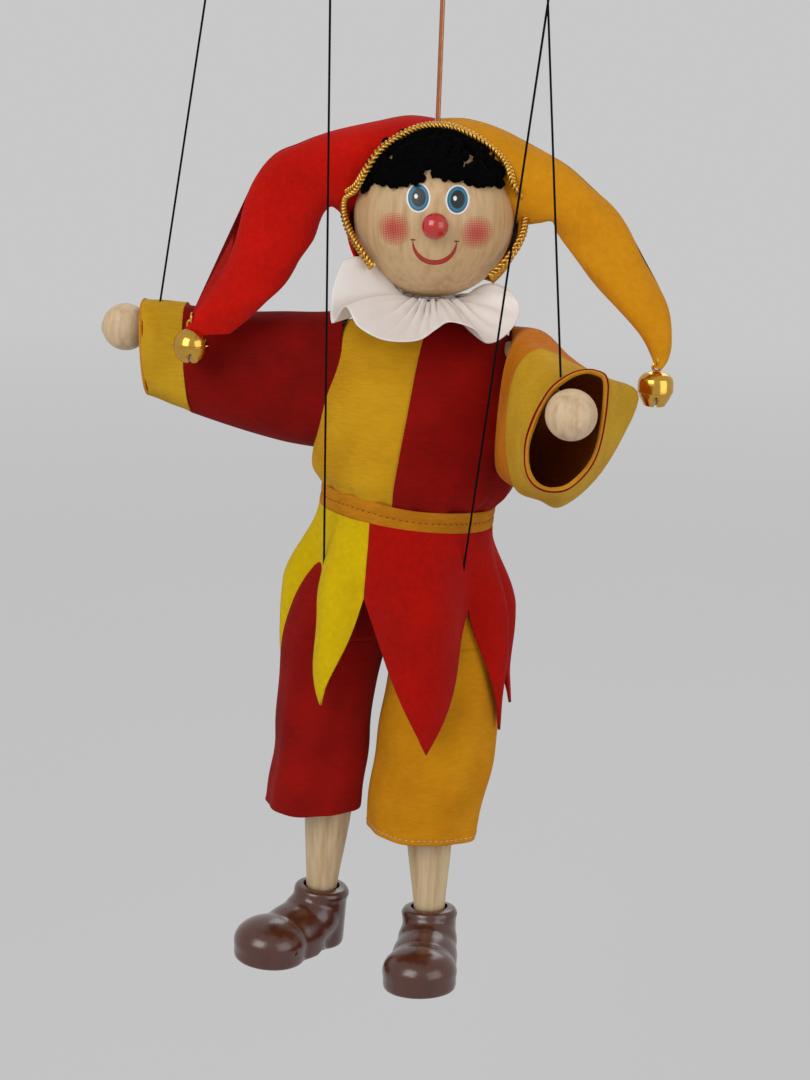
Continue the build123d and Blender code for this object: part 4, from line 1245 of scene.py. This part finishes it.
def ruffShape(u, v):
    outer = [fromHead(*p) for p in ruff["outer"]]
    edge = catmull(outer, u, True)
    flat = Vector((edge.x, edge.y, 0))
    gather = ruff["inner"] + 1.0 * math.sin(2 * math.pi * u * 34)
    neck = Vector((flat.normalized().x * gather * mm, flat.normalized().y * gather * mm,
                   headCentre.z + ruff["neck"] * mm))
    neck.z += (0.6 * math.sin(2 * math.pi * u * 17 + 1) - 0.5) * mm
    belly = math.sin(math.pi * v) * (edge.z - neck.z + 7 * mm) * 0.3
    pinch = math.sin(2 * math.pi * u * 34) * 0.85 * mm * (1 - v) ** 0.6 * min(1, v * 6)
    point = neck.lerp(edge, v)
    return point + Vector((0, 0, belly + pinch))


ruffPiece = clothGrid("ribbonRuff", 330, 26, ruffShape, wall=0.35)
satin.paint(ruffPiece)
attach(ruffPiece, "root")
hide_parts("ruff")
print("ruff done")

# ---- pieces that keep their own shape

keep = {
    controlWood: ["control_spine"],
    barWood: ["hand_bar", "leg_bar"],
    pegWood: ["bar_pegs", "waist_peg", "ankle_peg_right", "ankle_peg_left"],
    copperWire: ["head_wire"],
    steelWire: ["neck_bead", "neck_eye", "shoulder_eyes", "hip_pins", "arm_eye_right", "arm_eye_left",
                "thigh_eye_right", "thigh_eye_left",
                "knee_pin_right", "knee_pin_left", "bell_pea_right", "bell_pea_left"],
    paleWood: ["arm_dowel_right", "arm_dowel_left", "torso_block", "pelvis", "thigh_right", "thigh_left"],
    goldYarn: ["tip_loop_right", "tip_loop_left"],
}
for finish, nodes in keep.items():
    finish.paint(*[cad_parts[node] for node in nodes])

# ---- floor, world and soft lights

world = bpy.data.worlds.new("studio")
bpy.context.scene.world = world
world.use_nodes = True
background = world.node_tree.nodes["Background"]
background.inputs["Color"].default_value = (1, 1, 1, 1)
path = world.node_tree.nodes.new("ShaderNodeLightPath")
seen = world.node_tree.nodes.new("ShaderNodeMath")
seen.operation = "MAXIMUM"
world.node_tree.links.new(path.outputs["Is Camera Ray"], seen.inputs[0])
world.node_tree.links.new(path.outputs["Is Glossy Ray"], seen.inputs[1])
blendIn = world.node_tree.nodes.new("ShaderNodeMix")
blendIn.inputs[2].default_value = 0.42
blendIn.inputs[3].default_value = 0.58
world.node_tree.links.new(seen.outputs[0], blendIn.inputs[0])
world.node_tree.links.new(blendIn.outputs[0], background.inputs["Strength"])

deselect()
bpy.ops.mesh.primitive_plane_add(size=60, location=(0, 0, -0.62))
floor = named("floor")
floorPaint = Finish("paleFloor", "d6d6d8", 0.9)
grainy = floorPaint.noise(3, 2)
floorPaint.set("Base Color", floorPaint.mix(grainy, "cfcfd1", "d6d6d8"))
glow = floorPaint.tree.nodes.new("ShaderNodeEmission")
glow.inputs[0].default_value = (0.58, 0.58, 0.58, 1)
lightPath = floorPaint.tree.nodes.new("ShaderNodeLightPath")
cameraRay = Wire(floorPaint, lightPath.outputs["Is Camera Ray"])
anyRay = cameraRay.math("MAXIMUM", cameraRay, Wire(floorPaint, lightPath.outputs["Is Glossy Ray"]))
shaderMix = floorPaint.tree.nodes.new("ShaderNodeMixShader")
fx, fy = floorPaint.axes()[:2]
# the floor runs out into the same pale grey as the world
far = (((fx * fx + fy * fy).root() - 0.7) / 2.5).clamped()
floorPaint.tree.links.new((anyRay * (far * 0.35 + 0.65)).socket, shaderMix.inputs[0])
floorPaint.tree.links.new(floorPaint.shader.outputs[0], shaderMix.inputs[1])
floorPaint.tree.links.new(glow.outputs[0], shaderMix.inputs[2])
floorPaint.tree.links.new(shaderMix.outputs[0], floorPaint.tree.nodes["Material Output"].inputs[0])
floorPaint.paint(floor)

lamps = [("key", (-0.75, -1.0, 0.55), 9.5, 0.9), ("fill", (0.95, -0.8, 0.15), 4.5, 1.0),
         ("back", (0.3, 1.0, 0.6), 3.5, 0.8)]
for name, place, power, size in lamps:
    lamp = bpy.data.objects.new(name, bpy.data.lights.new(name, "AREA"))
    lamp.data.energy, lamp.data.size = power, size
    lamp.location = place
    lamp.rotation_mode = "QUATERNION"
    lamp.rotation_quaternion = (Vector((0, 0, -0.2)) - lamp.location).to_track_quat("-Z", "Y")
    bpy.context.scene.collection.objects.link(lamp)

bpy.context.scene.view_settings.view_transform = "Standard"
print("scene done")
